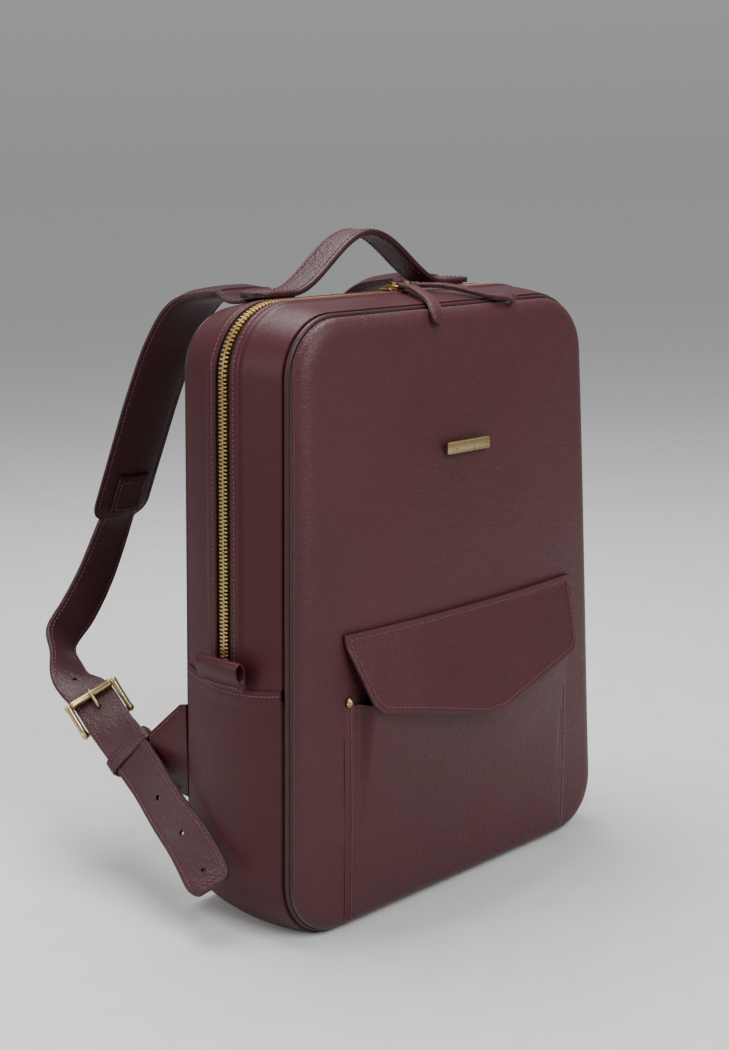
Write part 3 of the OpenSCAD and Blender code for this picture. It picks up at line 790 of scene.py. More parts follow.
def flap():
    outer, inner, rim = flap_grid(2.9), flap_grid(0.4), flap_grid(2.95, 3.6)
    wave = bumpy(outer, 60, 0.7, 9.0)
    outer[..., 1] += wave
    inner[..., 1] += wave
    rim[..., 1] += bumpy(rim, 60, 0.7, 9.0)
    obj = sheet_piece("flap_leather", outer, inner, [LEATHER, EDGE, LEATHER_SOFT_SHADED], sharp=40)
    hinge = ("shell", "flap", (0, FLAP_PIVOT[0], 198), (0, FLAP_PIVOT[0], 192))
    placed(rounded(obj, 0.55, 2, 60), "flap", ("pocket_flap", "flap_root"), hinge)
    normal = unit(np.cross(np.gradient(rim, axis=1), np.gradient(rim, axis=0)))
    normal = normal * np.where(normal[..., 1:2] > 0, -1, 1)
    sew("flap_stitches", [(outline_of(rim), outline_of(normal))], "flap", blend=hinge)


def name_plate():
    """A blank plate with a raised rim."""
    low, high = box_mm("name_plate")
    (x0, y, z0), (x1, _, z1) = low, high
    bits = [block("plate_back", (x0, y + 0.5, z0), high, BRASS, 0.5)]
    for a, b, c, d in ((x0, z0, x1, z0 + 1), (x0, z1 - 1, x1, z1),
                       (x0, z0, x0 + 1, z1), (x1 - 1, z0, x1, z1)):
        bits.append(block("rim", (a, y, b), (c, y + 1, d), BRASS, 0.3))
    placed(joined("blank_plate", bits), "cover", ("name_plate",))


# ---- top handle ----
HANDLE_Y, HANDLE_HALF, FOOT_Z, FOOT_X, RISE, FOOT_END = 28.5, 13, 407.5, 72, 38, 93


def top_handle():
    reach = HANDLE_HALF - 3.2
    for side, name in SIDES:
        x = np.concatenate([np.linspace(0, 76, 48), np.linspace(78, 104, 22)])
        bell = np.power(0.5 + 0.5 * np.cos(np.pi * np.clip(x / FOOT_X, 0, 1)), 0.9)
        path = xyz(x * side, HANDLE_Y, FOOT_Z + 1.6 + RISE * bell)
        taper = np.sqrt(np.clip(1 - ((x - FOOT_END) / 11.3).clip(0) ** 2.4, 0.001, 1))
        obj = ribbon("top_handle_" + name, path, ALONG_Y, round_section(HANDLE_HALF, 3.8),
                     [LEATHER_STRAP, EDGE], PAINTED, taper)
        turn = ("shell", "handle", (side * 79, HANDLE_Y, 0), (side * 54, HANDLE_Y, 0))
        placed(obj, None, ("handle_base_" + name,) + ("handle_strap",) * (side < 0), turn)
        _, across, out = frames(path, ALONG_Y)
        rows = edge_rows(path, across, upward(out), reach, 1.95, x < FOOT_END)
        a = np.linspace(-math.pi / 2, math.pi / 2, 16)
        rows.append((xyz(side * (FOOT_END + (reach - 2.4) * np.cos(a)), HANDLE_Y + reach * np.sin(a),
                         FOOT_Z + 3.55), ALONG_Z))
        bar = np.linspace(-reach + 1.5, reach - 1.5, 12)
        rows.append((xyz(side * 76.0, HANDLE_Y + bar, FOOT_Z + 3.6), ALONG_Z))
        sew("handle_stitches_" + name, rows, None, blend=turn)


# ---- zip sliders and pulls ----
# where each pull's tip lies, and how high its last bend stands over the tip
PULL_TIPS = {"left": ((-20, -64, 388), 8), "right": ((62, -60.5, 398), 3.2)}
PULL_HALF = 5.1
ARCH_SECTION = [(-1.5, -0.45), (1.5, -0.45), (1.2, 0.55), (-1.2, 0.55)]


def zip_pulls():
    for _, name in SIDES:
        low, high = box_mm("slider_" + name)
        cx, z0 = (low[0] + high[0]) / 2, low[2]
        body = [block("top", (cx - 6, -2.2, z0 + 2), (cx + 6, 8.5, z0 + 3.7), ZIP_BRASS, 0.8)]
        # the crown that the link passes under, and the guides that fold down over the teeth
        arch = spline([(cx, y, z0 + up) for y, up in
                       ((-1.2, 3.2), (-0.6, 6.0), (1.2, 7.3), (4.6, 7.3), (6.2, 6.0), (6.8, 3.2))], 5)
        body.append(ribbon("arch", arch, ALONG_X, ARCH_SECTION, ZIP_BRASS))
        for y in (-2.0, 7.1):
            body.append(block("guide", (cx - 5.4, y - 0.5, z0 + 0.1), (cx + 5.4, y + 0.7, z0 + 2.6),
                              ZIP_BRASS, 0.35))
        placed(joined("zip_slider_" + name, body), "slider_" + name, ("slider_" + name,))
        low, high = box_mm("pull_link_" + name)
        axis_y, front, z = high[1] - 0.8, low[1] + 0.8, (low[2] + high[2]) / 2
        ring = wire_loop("link_" + name, [(cx - 5, axis_y, z), (cx + 5, axis_y, z), (cx + 4.6, front, z),
                                          (cx - 4.6, front, z)], 0.8, ZIP_BRASS)
        placed(ring, "pull_" + name, ("pull_link_" + name,))
        tip, bend = PULL_TIPS[name]
        start, tip = np.array([cx, front, z]), np.array(tip, float)
        over = tip[0] - start[0]
        path = spline([start + (0, -2, 0), start + (over * 0.05, -7, 0), start + (over * 0.3, -20, -1),
                       start + (over * 0.65, -42, -7), tip + (-over * 0.08, 3, bend), tip], 12)
        t = np.linspace(0, 1, len(path))
        half = np.interp(t, [0, 0.06, 0.2, 0.42, 0.7, 0.88, 1],
                         [3.2, 4.2, 4.2, 3.9, 4.5, 5.0, 5.0]) / PULL_HALF
        half = half * np.sqrt(np.clip(1 - ((t - 0.9) / 0.102).clip(0) ** 2, 0.001, 1))
        tab = ribbon("tab", path, ALONG_X, round_section(PULL_HALF, 3.0, 0.9, 0.3), [LEATHER, EDGE],
                     PAINTED, half)
        # the leather is folded round the link and sewn back on itself
        hub = turned_x([(cx + dx, r) for dx, r in ((-3.3, 1.2), (-3.6, 2.2), (-3.2, 2.45), (3.2, 2.45),
                                                   (3.6, 2.2), (3.3, 1.2))], front, z, 20)
        tab = joined("pull_" + name, [tab, loft("fold", hub, LEATHER)])
        placed(tab, "pull_" + name, ("pull_tab_" + name,))
        _, across, out = frames(path, ALONG_X)
        rows = edge_rows(path, across, upward(out), (half * PULL_HALF - 1.5)[:, None], 1.55,
                         (t > 0.1) & (t < 0.92), faces=(1,))
        sew("pull_stitches_" + name, rows, "pull_" + name, pitch=2.6, length=1.9, radius=0.26, lift=0.05)


# ---- folded leather at the zip's ends ----
# the sheet runs up the bag, turns over and comes back down onto itself, as (off, up) points
END_OUTER = spline([(0.2, -3.5), (0.0, 2), (0.0, 9), (0.5, 13.5), (3.0, 16.6), (6.0, 16.4), (8.0, 13.8),
                    (8.3, 10.5), (7.0, 6.0), (4.2, 1.5), (2.4, -1.0), (1.9, -3.5)], 5)
END_YS = np.array([-22.2, -21.6, -20.6, -12, -2, 8, 16.6, 17.6, 18.2])
END_X, END_Z = BASE_CX + CORNER + CROWN + 0.6, SEAM_Z + 0.5


def end_rings(section, grow, side):
    """The section at each place along the end, with its two mouths drawn in or opened out."""
    middle = section.mean(axis=0)
    rings = []
    for y, g in zip(END_YS, grow):
        u, v = (middle + (section - middle) * g).T
        rings.append(xyz(side * (END_X + u + crown(y) - CROWN), y, END_Z + v))
    return np.array(rings)


def zip_ends():
    a = circle(len(END_OUTER))[::-1]
    hole = np.stack([4.2 + 3.0 * np.cos(a) * (1 + 0.12 * np.sin(a)), 10.0 + 5.1 * np.sin(a)], 1)
    nearest = min(range(len(hole)), key=lambda k: np.sum((np.roll(hole, k, 0) - END_OUTER) ** 2))
    hole = np.roll(hole, nearest, 0)
    for side, name in SIDES:
        out = end_rings(END_OUTER, [0.93, 0.985, 1, 1, 1, 1, 1, 0.985, 0.93], side)
        into = end_rings(hole, [1.12, 1.02, 1, 1, 1, 1, 1, 1.02, 1.12], side)
        skin = np.concatenate([out, into[::-1]])
        m, n = skin.shape[:2]
        which = [int(k // n in (0, len(out) - 2, len(out) - 1, m - 1)) for k in range(m * n)]
        obj = mesh_piece("zip_end_" + name, skin, quads(m, n, True, True), [LEATHER_SIDE_SHADED, EDGE], which, 55)
        placed(obj, "shell", ("zip_tab_" + name,))
        y = np.linspace(-19.5, 15.5, 40)
        row = xyz(side * (END_X + 3.3 + crown(y) - CROWN), y, END_Z - 0.2)
        sew("zip_end_stitches_" + name, [(row, (side, 0, -0.4))], "shell")


# ---- shoulder straps: the left one's paths, mirrored for the right one ----
PAD_PATH = [(-84, 56, 411), (-86, 99, 403), (-84, 131, 376), (-83, 158, 335), (-82, 186, 284), (-83, 210, 235)]
ROOT_PATH = [(-84, 30, 404.9), (-84, 40, 404.5), (-84, 48, 406.2), (-84.2, 56, 410.2), (-84.6, 66, 409.6)]
PATCH_PATH = [(-82.7, 192, 272), (-83, 201, 254), (-83.2, 206, 243)]
TAIL_PATH = [(-83.2, 206.5, 243), (-84.9, 212.8, 228), (-99, 218, 193), (-115, 220, 168), (-132, 219, 150),
             (-141, 200, 139), (-149, 181, 129), (-150, 156, 121), (-152.5, 136, 110), (-157, 105.5, 95.5),
             (-163, 77, 84), (-167, 51, 69), (-170, 25, 55), (-176, 0, 41), (-177.8, -8, 36.6)]
TAIL_WIDE = [(1, 0, -0.05), (1, 0, -0.1), (0.86, -0.1, -0.5), (0.76, -0.17, -0.63), (0.74, -0.04, -0.67),
             (0.85, 0, -0.5), (0.95, -0.15, 0), (0.83, -0.33, 0.44), (0.83, -0.33, 0.44), (0.54, -0.44, 0.72),
             (0.4, -0.48, 0.78), (0.46, -0.48, 0.75), (0.63, -0.48, 0.61), (0.78, -0.46, 0.43),
             (0.8, -0.46, 0.4)]
BASE_PATH = [(-149, 137.2, 104.6), (-152.6, 106.1, 93.3), (-152.6, 96.5, 91.6), (-151.9, 84, 92)]
BASE_WIDE = [(0.83, -0.33, 0.44), (0.54, -0.44, 0.72), (0.5, -0.45, 0.74), (0.2, -0.3, 0.93)]
ANCHOR = np.array([(48.5, 74.5), (60, 75.2), (88.4, 81.6), (90, 83), (90, 109), (89, 111), (55.5, 137.4),
                   (48.5, 139)])
PAD_HALF, PAD_EDGE, STRAP_HALF, STRAP_T = 25, 1.35, 15.4, 3.2
HOLES_FROM_END = (14, 47, 80)                # the spare holes in the strap's free end
# the buckle in its own axes, Y along the strap: arms, bar, roller and where the prong bends up
ARM_X, BUCKLE_L, ROLLER_Z, BAR_Z, PRONG_Y = 18.4, 21, 4.6, -6.4, -11.5


def turned(angles):
    """Rotation by angles about X, then Y, then Z, in degrees."""
    x, y, z = (math.radians(a) for a in angles)
    return np.array(Matrix.Rotation(z, 3, "Z") @ Matrix.Rotation(y, 3, "Y") @ Matrix.Rotation(x, 3, "X"))


BUCKLE = (np.array([-150.0, 156.0, 121.0]), turned((32, -26, -22)))
KEEPER = (np.array([-155.0, 105.5, 94.5]), turned((42, -45, -39)))


def seat(points, place, mirror=1):
    """Points given in a buckle's or keeper's own axes, moved to the left strap and mirrored where asked."""
    return (np.asarray(points, float) @ place[1].T + place[0]) * mirror


def puffed(obj, held, pressure, cap, last=20):
    """Inflates a padded piece with cloth, its sewn edges held, and limits how far each point moves."""
    group = obj.vertex_groups.new(name="sewn")
    group.add([int(k) for k in np.nonzero(held)[0]], 1.0, "REPLACE")
    cloth = obj.modifiers.new("cloth", "CLOTH")
    cloth.settings.quality, cloth.settings.mass = 5, 0.35
    cloth.settings.tension_stiffness = cloth.settings.compression_stiffness = 28
    cloth.settings.bending_stiffness = 2.5
    cloth.settings.vertex_group_mass = "sewn"
    cloth.settings.use_pressure = True
    cloth.settings.uniform_pressure_force = pressure
    cloth.settings.effector_weights.gravity = 0
    cloth.point_cache.frame_start, cloth.point_cache.frame_end = 1, last
    before = np.array([v.co for v in obj.data.vertices])
    for step in range(1, last + 1):
        bpy.context.scene.frame_set(step)
    shaped = obj.evaluated_get(bpy.context.evaluated_depsgraph_get()).to_mesh()
    after = np.array([v.co for v in shaped.vertices])
    obj.modifiers.clear()
    obj.vertex_groups.clear()
    bpy.context.scene.frame_set(1)
    move = after - before
    far = np.linalg.norm(move, axis=1, keepdims=True)
    move = move * np.minimum(1, cap * MM / np.maximum(far, 1e-9))
    obj.data.vertices.foreach_set("co", (before + move).ravel())
    obj.data.update()


def pad_section(half, thick):
    """A padded strap: sewn flat edges, a stitch channel, and a crowned middle on both faces."""
    face = [(-half + 0.5, 1.0), (-half + 2.2, PAD_EDGE), (-half + 3.4, 1.25), (-half + 4.4, 1.9),
            (-half + 6.4, thick * 0.66), (-half + 10, thick * 0.88), (-half * 0.3, thick)]
    top = [(-half, 0.3)] + face + [(-a, b) for a, b in face[::-1]] + [(half, 0.3)]
    return np.array(top + [(-a, -b) for a, b in top])


def shoulder_pad(name, body, mirror):
    path = spline(PAD_PATH, 14)
    ahead, across, out = frames(path, ALONG_X)
    section = pad_section(PAD_HALF, 4.6)
    gone = run_of(path)
    left = gone[-1] - gone
    narrow = blunt_end(left, 14, 14.2, 0.55)
    thin = np.clip(np.minimum(left / 12, gone / 14 + 0.35), 0.22, 1)
    rings = swept(path, across, out, section, narrow, thin)
    rings[-1] += ahead[-1] * 0.8
    sewn = np.tile(np.abs(section[:, 0]) > PAD_HALF - 4.8, (len(rings), 1))
    sewn |= ((left < 9) | (gone < 9))[:, None]
    pad = loft("shoulder_pad_" + name, rings * mirror, [LEATHER_SOFT_SHADED, EDGE], {0, 15, 16, 31}, sharp=60)
    puffed(pad, sewn.ravel(), 5.0, 2.2)
    placed(pad, body, ("strap_pad_" + name,))
    rows = edge_rows(path, across, out, (PAD_HALF - 3.0) * narrow[:, None], PAD_EDGE,
                     (gone > 6) & (left > 8), mirror)
    end = path[-5] + across[-5] * np.linspace(-19, 19, 20)[:, None]
    rows.append(((end + out[-5] * 2.0) * mirror, out[-5] * mirror))
    sew("pad_stitches_" + name, rows, body)


def pad_patch(name, body, mirror, half=10.4):
    """The sewn leather patch that joins the buckled strap to the pad."""
    path = spline(PATCH_PATH)
    _, across, out = frames(path, ALONG_X)
    path = path + out * 5.6
    patch = ribbon("pad_patch_leather_" + name, path * mirror, ALONG_X, round_section(13, 2.4, 0.9, 0.2),
                   [LEATHER_SOFT_SHADED, EDGE], PAINTED)
    placed(rounded(patch, 0.8, 2, 60), body, ("pad_patch_" + name,))
    x = np.linspace(-half, half, 10)[:, None]
    ends = [path[k] + across[k] * x * way for k, way in ((2, 1), (-3, -1))]
    edges = [path[3:-3] + across[3:-3] * half * way for way in (1, -1)]
    ring = np.concatenate([ends[0], edges[0], ends[1], edges[1][::-1], ends[0][:1]])
    up = out[len(out) // 2]
    sew("patch_stitches_" + name, [((ring + up * 1.3) * mirror, up * mirror)], body)


def pad_root(name, body, mirror):
    """The end of the shoulder strap's leather, sewn to the top of the bag under the handle's foot."""
    path = spline(ROOT_PATH)
    _, across, out = frames(path, ALONG_X)
    bend = ("shell", body, (-84 * mirror[0], 45, 405), (-84 * mirror[0], 60, 411))
    root = ribbon("pad_root_" + name, path * mirror, ALONG_X, round_section(PAD_HALF - 0.6, 2.4, 0.9, 0.2),
                  [LEATHER_SOFT_SHADED, EDGE], PAINTED)
    placed(root, "shell", (), bend)
    rows = edge_rows(path, across, upward(out), PAD_HALF - 3.6, 1.25, slice(None, -8), mirror, (1,))
    sew("pad_root_stitches_" + name, rows, "shell", blend=bend)


def strap_holes(obj, spots, ups, radius=1.7):
    """Punches round holes through a strap."""
    drills = []
    for spot, up in zip(spots, ups):
        turn = Vector(up).to_track_quat("Z", "Y").to_matrix()
        ring = [np.array(turn @ Vector((radius * math.cos(a), radius * math.sin(a), 0))) for a in circle(20)]
        drills.append(loft("drill", [[spot + r + np.asarray(up) * h for r in ring] for h in (-5, 5)], HOLE_SHADE))
    drill = joined("drill", drills)
    cut = obj.modifiers.new("holes", "BOOLEAN")
    cut.operation, cut.solver, cut.object = "DIFFERENCE", "EXACT", drill
    cut.material_mode = "TRANSFER"
    result = bpy.data.meshes.new_from_object(obj.evaluated_get(bpy.context.evaluated_depsgraph_get()))
    obj.modifiers.clear()
    obj.data = result
    bpy.data.objects.remove(drill)
    obj.data.set_sharp_from_angle(angle=math.radians(50))


def buckled_strap(name, body, mirror):
    path = spline(TAIL_PATH, 10)
    ahead, across, out = frames(path, spline(TAIL_WIDE, 10))
    gone = run_of(path)
    left = gone[-1] - gone
    tip = blunt_end(left, 12, 12.6, 0.5)
    section = round_section(STRAP_HALF, STRAP_T + 0.4, 1.0, 0.3)
    rings = swept(path, across, out, section, tip)
    tail = loft("buckled_strap_" + name, rings * mirror, [LEATHER_STRAP, EDGE], PAINTED, sharp=60)
    at = [int(round(np.interp(gone[-1] - d, gone, np.arange(len(gone))))) for d in HOLES_FROM_END]
    for hole in seat([(0, PRONG_Y, 0), (0, 24, -1)], BUCKLE):    # at the prong and just above the buckle
        at.append(int(np.argmin(np.linalg.norm(path - hole, axis=1))))
    strap_holes(tail, path[at] * mirror, out[at] * mirror)
    placed(tail, body, ("strap_tail_" + name,))
    rows = edge_rows(path, across, out, (STRAP_HALF - 3.0) * tip[:, None], 1.85,
                     (left > 7) & (gone > 2), mirror)
    k = int(np.argmin(np.abs(left - 6)))
    x = np.linspace(-8.5, 8.5, 10)[:, None]
    bow = path[k] + across[k] * x + ahead[k] * (2.0 - 0.02 * x * x)
    rows.append(((bow + out[k] * 1.9) * mirror, out[k] * mirror))
    sew("strap_stitches_" + name, rows, body)


def base_strap(name, body, mirror):
    """The shorter strap that holds the buckle, wrapped round its bar."""
    path, wide = spline(BASE_PATH, 10), spline(BASE_WIDE, 10)
    flat = ribbon("flat", path * mirror, wide * mirror, round_section(STRAP_HALF, 2.6, 0.9, 0.25),
                  [LEATHER_STRAP, EDGE], PAINTED, sharp=60)
    hub = turned_x(((3.0, 2.2), (3.0, 3.5), (3.6, 3.9), (14.4, 3.9), (15, 3.5), (15, 2.2)),
                   -BUCKLE_L, BAR_Z, 24)
    folds = [loft("fold", seat(hub * [flip, 1, 1], BUCKLE, mirror), LEATHER_STRAP) for flip in (1, -1)]
    obj = joined("base_strap_leather_" + name, [flat] + folds)
    placed(obj, body, ("base_strap_" + name,))
    _, across, out = frames(path, wide)
    bare = (path[:, 1] < 135) & (path[:, 1] > 117)       # between the buckle and the keeper
    rows = edge_rows(path, across, out, 12, 1.35, bare, mirror)
    sew("base_strap_stitches_" + name, rows, body)


def anchor(name, body):
    """The triangle of doubled leather sewn to the bag's lower corner."""
    low, high = box_mm("strap_anchor_" + name)
    x0, x1 = low[0] - 0.1, high[0] + 0.1
    inward = unit(ANCHOR.mean(axis=0) - ANCHOR)
    rings = []
    for x, shrink in ((x0, 0.7), (x0 + 0.25, 0.2), (x0 + 0.7, 0), (x1 - 0.7, 0), (x1 - 0.25, 0.2), (x1, 0.7)):
        rings.append(xyz(x, *(ANCHOR + inward * shrink).T))
    obj = loft("anchor_leather_" + name, rings, [LEATHER_SIDE_SHADED, EDGE], sharp=40)
    placed(obj, body, ("strap_anchor_" + name,))
    corners = ((56.5, 133), (88, 108.3), (88, 85), (56.5, 78.4))
    rows = [(np.linspace((x, *a), (x, *b), 12), (face, 0, 0))
            for x, face in ((x0 - 0.05, -1), (x1 + 0.05, 1)) for a, b in zip(corners, corners[1:])]
    sew("anchor_stitches_" + name, rows, body)


def buckle(name, body, mirror):
    """Cast roller buckle: arms that thicken at the ends, a bar, a turning roller and a bent prong."""
    bits = []
    t = np.linspace(0, 1, 24)
    radius = 2.3 + 0.5 * np.exp(-((t - 0.09) / 0.1) ** 2) + 0.4 * np.exp(-((t - 0.92) / 0.1) ** 2)
    radius = radius * np.sqrt(np.clip(1 - ((np.abs(t - 0.5) - 0.43) / 0.075).clip(0) ** 2, 0.02, 1))
    for x in (-ARM_X, ARM_X):
        arm = xyz(x, 2.2 - (BUCKLE_L + 4.2) * t, ROLLER_Z + (BAR_Z - ROLLER_Z) * ease(0, 1, t))
        bits.append(tube(seat(arm, BUCKLE, mirror), radius, BRASS))
    for y, z, r in ((0, ROLLER_Z, 1.2), (-BUCKLE_L, BAR_Z, 1.5)):
        bits.append(tube(seat(xyz(np.linspace(-ARM_X, ARM_X, 6), y, z), BUCKLE, mirror), r, BRASS))
    placed(joined("buckle_" + name, bits), body, ("buckle_frame_" + name,))
    half = [(16, 1.4), (16, 2.6), (15.6, 3.0), (13.6, 3.05), (13.2, 2.9)]
    roller = turned_x([(-x, r) for x, r in half] + half[::-1], 0, ROLLER_Z, 28)
    obj = loft("roller_tube_" + name, seat(roller, BUCKLE, mirror), BRASS, sharp=40)
    placed(obj, "roller_" + name, ("buckle_roller_" + name,))
    prong = spline([(0, 1 - BUCKLE_L, BAR_Z + 2.6), (0, -BUCKLE_L + 4, BAR_Z + 2.2),
                    (0, PRONG_Y - 1.2, BAR_Z + 3.0), (0, PRONG_Y, 1.0), (0, PRONG_Y + 1.0, 4.0),
                    (0, PRONG_Y + 4.5, 6.6), (0, -2.4, ROLLER_Z + 4.3), (0, 0.8, ROLLER_Z + 4.5)], 6)
    thick = np.interp(np.linspace(0, 1, len(prong)), [0, 0.1, 0.85, 1], [1.3, 1.25, 1.2, 0.8])
    a = np.linspace(0.3, 2 * math.pi + 0.3, 22)
    eye = xyz(0, -BUCKLE_L + 2.2 * np.cos(a), BAR_Z + 2.2 * np.sin(a))
    parts = [tube(seat(prong, BUCKLE, mirror), thick, BRASS, 12),
             tube(seat(eye, BUCKLE, mirror), 0.75, BRASS, 10)]
    placed(joined("prong_pin_" + name, parts), "prong_" + name, ("buckle_prong_" + name,))


def keeper(name, mirror):
    """A leather loop, sewn along both edges, with its ends butted together underneath."""
    outer = np.array([(18.2, 4.4), (19, 2.8), (19, -3.4), (18.2, -5.2), (16, -6.9), (-16, -6.9), (-18.2, -5.2),
                      (-19, -3.4), (-19, 2.8), (-18.2, 4.4), (-16, 5.9), (16, 5.9)])
    ys = (-5.5, -5.0, -4.2, -3.4, -2.6, 2.6, 3.4, 4.2, 5.0, 5.5)
    lift = (-0.5, -0.1, 0.0, -0.18, 0.0, 0.0, -0.18, 0.0, -0.1, -0.5)
    shapes = [(outer + unit(outer) * g, y) for y, g in zip(ys, lift)]
    shapes += [(outer * [0.905, 0.8], y) for y in (5.5, -5.5)]
    skin = np.array([seat(xyz(shape[:, 0], y, shape[:, 1]), KEEPER, mirror) for shape, y in shapes])
    m, n = skin.shape[:2]
    which = [int(k // n in (len(ys) - 1, m - 1)) for k in range(m * n)]
    obj = mesh_piece("keeper_loop_" + name, skin, quads(m, n, True, True), [LEATHER_STRAP, EDGE], which, 60)
    placed(obj, "keeper_" + name, ("keeper_" + name,))
    rows = [(seat(xyz(np.linspace(-15, 15, 14), y, z), KEEPER, mirror), KEEPER[1] @ (0, 0, face) * mirror)
            for y in (-3.4, 3.4) for z, face in ((5.85, 1), (-6.85, -1))]
    sew("keeper_stitches_" + name, rows, "keeper_" + name, pitch=2.8, length=2.1, radius=0.3)


# ---- back and inside ----
CHANNELS = (-0.5, 0.0, 0.5)                  # sewn across each back pad, as shares of its half height


def back_panel():
    """The leather back, sewn inside the piping, dished a little between its two pads."""
    hoop = hoop_rings(200)
    rings = [ring_at(hoop, inset, y) for y, inset in (
        (SEAM_Y + 0.2, 5.0), (HALF_D - 1.2, 4.9), (HALF_D - 0.4, 5.4), (HALF_D - 0.1, 6.6))]
    last = rings[-1] * [1, 0, 1]
    for t in towards_hub(26):
        ring = HUB + (last - HUB) * (1 - t)
        ring[:, 1] = HALF_D - 0.1 - 1.0 * ease(0, 0.4, t) + bumpy(ring, 50, 0.35, 3)
        rings.append(ring)
    inner = [xyz(r[:, 0], SEAM_Y + 0.2, r[:, 2]) for r in rings[:1:-1]]
    placed(loft("back_leather", inner + rings, LEATHER, sharp=60), "shell", ("back_panel",))


def back_pads(m=30, n=49):
    for _, name in SIDES:
        low, high = box_mm("back_pad_" + name)
        mid, half = (low + high) / 2, (high - low) / 2
        u, v = np.meshgrid(np.linspace(-1, 1, m), np.linspace(-1, 1, n))
        # rounded corners: the outermost points are drawn in towards the middle
        corner = np.abs(u) ** 6 * np.abs(v) ** 12
        x, z = mid[0] + u * half[0] * (1 - 0.08 * corner), mid[2] + v * half[2] * (1 - 0.02 * corner)
        rim = np.minimum((1 - np.abs(u)) * half[0], (1 - np.abs(v)) * half[2])
        rise = 0.9 + 0.5 * (rim > 1) - 0.5 * np.exp(-((rim - 4.4) / 0.9) ** 2) + 6.4 * ease(5, 17, rim) ** 0.7
        for at in CHANNELS:
            rise = rise - np.where(rim > 6, 3.2, 0) * np.exp(-((v - at) * half[2] / 4.0) ** 2)
        out, back = xyz(x, HALF_D + 0.1 + np.maximum(rise, 0.8), z), xyz(x, HALF_D + 0.02, z)
        obj = sheet_piece("back_cushion_" + name, out, back, [LEATHER_SOFT_SHADED, EDGE, LINING], sharp=60)
        held = np.ones(len(obj.data.vertices), bool)
        held[:m * n] = (rise < 5.6).ravel()
        puffed(obj, held, 4.0, 1.2)
        placed(obj, "shell", ("back_pad_" + name,))
        reach_x, reach_z = half[0] - 4.4, half[2] - 4.4
        corners = [(mid[0] + a * reach_x, HALF_D + 1.0, mid[2] + b * reach_z)
                   for a, b in ((-1, -1), (1, -1), (1, 1), (-1, 1), (-1, -1))]
        rows = [(np.linspace(a, b, 30), ALONG_Y) for a, b in zip(corners, corners[1:])]
        x = np.linspace(mid[0] - reach_x + 5, mid[0] + reach_x - 5, 30)
        rows += [(xyz(x, HALF_D + 4.9, mid[2] + at * half[2]), ALONG_Y) for at in CHANNELS]
        sew("back_stitches_" + name, rows, "shell")


def lining():
    """Cloth that follows the shell inside: the whole depth low down, and only the back above that."""
    hoop = hoop_rings(160)
    cx, cz, nx, nz = hoop
    deep = np.where(cz + CORNER * nz > 186, SEAM_Y - 2.2, -SEAM_Y + 0.6)
    waves = np.abs(bumpy(xyz(cx, 0, cz), 30, 0.5, 2.0))
    rows = np.linspace(0, 1, 10)
    skin = np.array([ring_at(hoop, WALL + 2.1 + waves * (t * (1 - t) * 4), deep + (SEAM_Y - 0.5 - deep) * t)
                     for t in rows])
    thin = skin - 0.7 * xyz(nx, 0, nz)
    thin[-1, :, 1] = SEAM_Y - 1.3
    middle = np.linspace(0.05, 0.99, 14)
    walls = [(HUB + (skin[-1] - HUB) * (1 - t)) * [1, 0, 1] + [0, y, 0]
             for y, shares in ((SEAM_Y - 0.5, middle), (SEAM_Y - 1.3, middle[::-1])) for t in shares]
    rings = np.concatenate([skin, walls, thin[::-1]])
    faces = quads(*rings.shape[:2], True, True)
    placed(mesh_piece("lining_cloth", rings, faces, LINING, sharp=60), "shell", ("lining",))


def pouch(name, node, front, walls, hem):
    """A cloth pocket: a full, slightly wavy front, thin sides and floor, and a bound top edge.
    front: step back from the box, bulge, thickness, seed; walls: step back, thickness, floor, drop below
    the top, bevel; hem: near and far step, reach down and up, bevel."""
    (x0, y0, z0), (x1, y1, z1) = box_mm(node)
    step, bulge, thick, seed = front
    u, v = np.meshgrid(np.linspace(-1, 1, 40), np.linspace(-1, 1, 40))
    x, z = x0 + (x1 - x0) * (u + 1) / 2, z0 + (z1 - z0) * (v + 1) / 2
    full = bulge * np.sqrt(np.clip((1 - u ** 4) * (1 - v ** 4), 0, 1))
    wave = bumpy(xyz(x, 0, z), 38, 0.4, seed) * ease(1, 0.8, np.abs(u)) * ease(1, 0.8, np.abs(v))
    out = xyz(x, y0 + step + full + wave, z)
    pieces = [sheet_piece("front", out, out - [0, thick, 0], [LINING], sharp=60)]
    step, wall, floor, drop, bevel = walls
    for a, b, top in ((x0, x0 + wall, z1 - drop), (x1 - wall, x1, z1 - drop), (x0, x1, z0 + floor)):
        pieces.append(block("wall", (a, y0 + step, z0), (b, y1, top), LINING, bevel))
    near, far, down, up, bevel = hem
    pieces.append(block("hem", (x0, y0 + near, z1 - down), (x1, y0 + far, z1 + up), TAPE, bevel))
    obj = joined(name, pieces)
    placed(obj, "shell", (node,))


def inside():
    lining()
    pouch("laptop_sleeve_padded", "laptop_sleeve",
          (2.2, -1.6, -2.4, 4.0), (2.4, 2.5, 3, 2, 0.9), (0.9, 5.0, 9, 0.4, 1.2))
    pouch("slip_pocket_cloth", "slip_pocket",
          (1.2, -1.0, -1.0, 7.0), (1.4, 1.2, 1.2, 1, 0.4), (0.5, 2.9, 6, 0.2, 0.7))
    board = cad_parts["base_board"]
    board.data.materials.clear()
    board.data.materials.append(BOARD)


# ---- studio ----
SKY = ((0.02, (0.655, 0.655, 0.655, 1)), (0.4, (1, 1.01, 1.04, 1)))
SKY_STRENGTH = 0.46
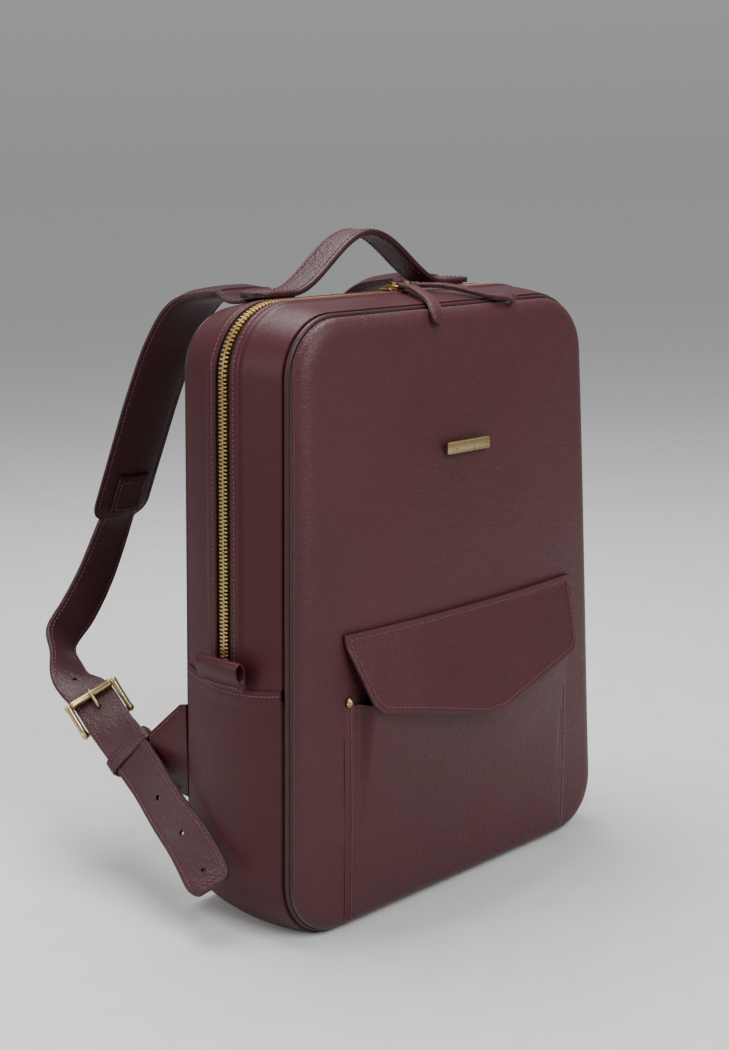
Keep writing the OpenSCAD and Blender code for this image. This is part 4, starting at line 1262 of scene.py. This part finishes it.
# place, aim, size and power of each soft light
LAMPS = (("key", (-0.3, -1.7, 1.5), (0, 0, 0.25), 1.3, 46), ("side", (-1.9, 0.9, 0.9), (-0.1, 0, 0.2), 1.0, 16),
         ("top", (0.0, 0.4, 1.6), (0, 0, 0.4), 1.1, 30))
FLOOR_HALF, FLOOR_Z = 40000, -0.2


def studio():
    scene = bpy.context.scene
    scene.world = bpy.data.worlds.new("studio")
    scene.world.use_nodes = True
    tree = scene.world.node_tree
    where, split = tree.nodes.new("ShaderNodeTexCoord"), tree.nodes.new("ShaderNodeSeparateXYZ")
    sky = tree.nodes.new("ShaderNodeValToRGB")
    for mark, (at, colour) in zip(sky.color_ramp.elements, SKY):
        mark.position, mark.color = at, colour
    tree.links.new(where.outputs["Generated"], split.inputs["Vector"])
    tree.links.new(split.outputs["Z"], sky.inputs["Fac"])
    tree.links.new(sky.outputs["Color"], tree.nodes["Background"].inputs["Color"])
    tree.nodes["Background"].inputs["Strength"].default_value = SKY_STRENGTH
    for name, at, aim, size, power in LAMPS:
        data = bpy.data.lights.new(name, "AREA")
        data.shape, data.size, data.energy = "DISK", size, power
        lamp = bpy.data.objects.new(name, data)
        lamp.location = at
        lamp.rotation_euler = (Vector(aim) - Vector(at)).to_track_quat("-Z", "Y").to_euler()
        scene.collection.objects.link(lamp)
    n = Nodes("floor_paper")
    grain = n.noise(40, 4)
    paper = n.surface(n.ramp(grain, [(0.3, (0.62, 0.62, 0.61)), (0.7, (0.66, 0.66, 0.65))]),
                      n.spread(grain, 0.8, 0.9), n.bump(grain, 0.0003, 0.2))
    corners = [(x * FLOOR_HALF, y * FLOOR_HALF, FLOOR_Z) for x, y in ((-1, -1), (1, -1), (1, 1), (-1, 1))]
    mesh_piece("floor", corners, [(0, 1, 2, 3)], paper)


front_panel()
piping("front_piping", 1.5 - HALF_D, -1, ("front_piping_lower", "front_piping_upper"), FOLD)
piping("back_piping_roll", HALF_D - 1.5, 1, ("back_piping",), None)
gussets()
base_gusset()
zip_rows()
pocket()
flap()
name_plate()
top_handle()
zip_pulls()
zip_ends()
for side, name in SIDES:
    strap, mirror = "strap_" + name, np.array([-side, 1, 1])
    shoulder_pad(name, strap, mirror)
    pad_patch(name, strap, mirror)
    pad_root(name, strap, mirror)
    buckled_strap(name, strap, mirror)
    base_strap(name, strap, mirror)
    anchor(name, strap)
    buckle(name, strap, mirror)
    keeper(name, mirror)
back_panel()
back_pads()
inside()
studio()
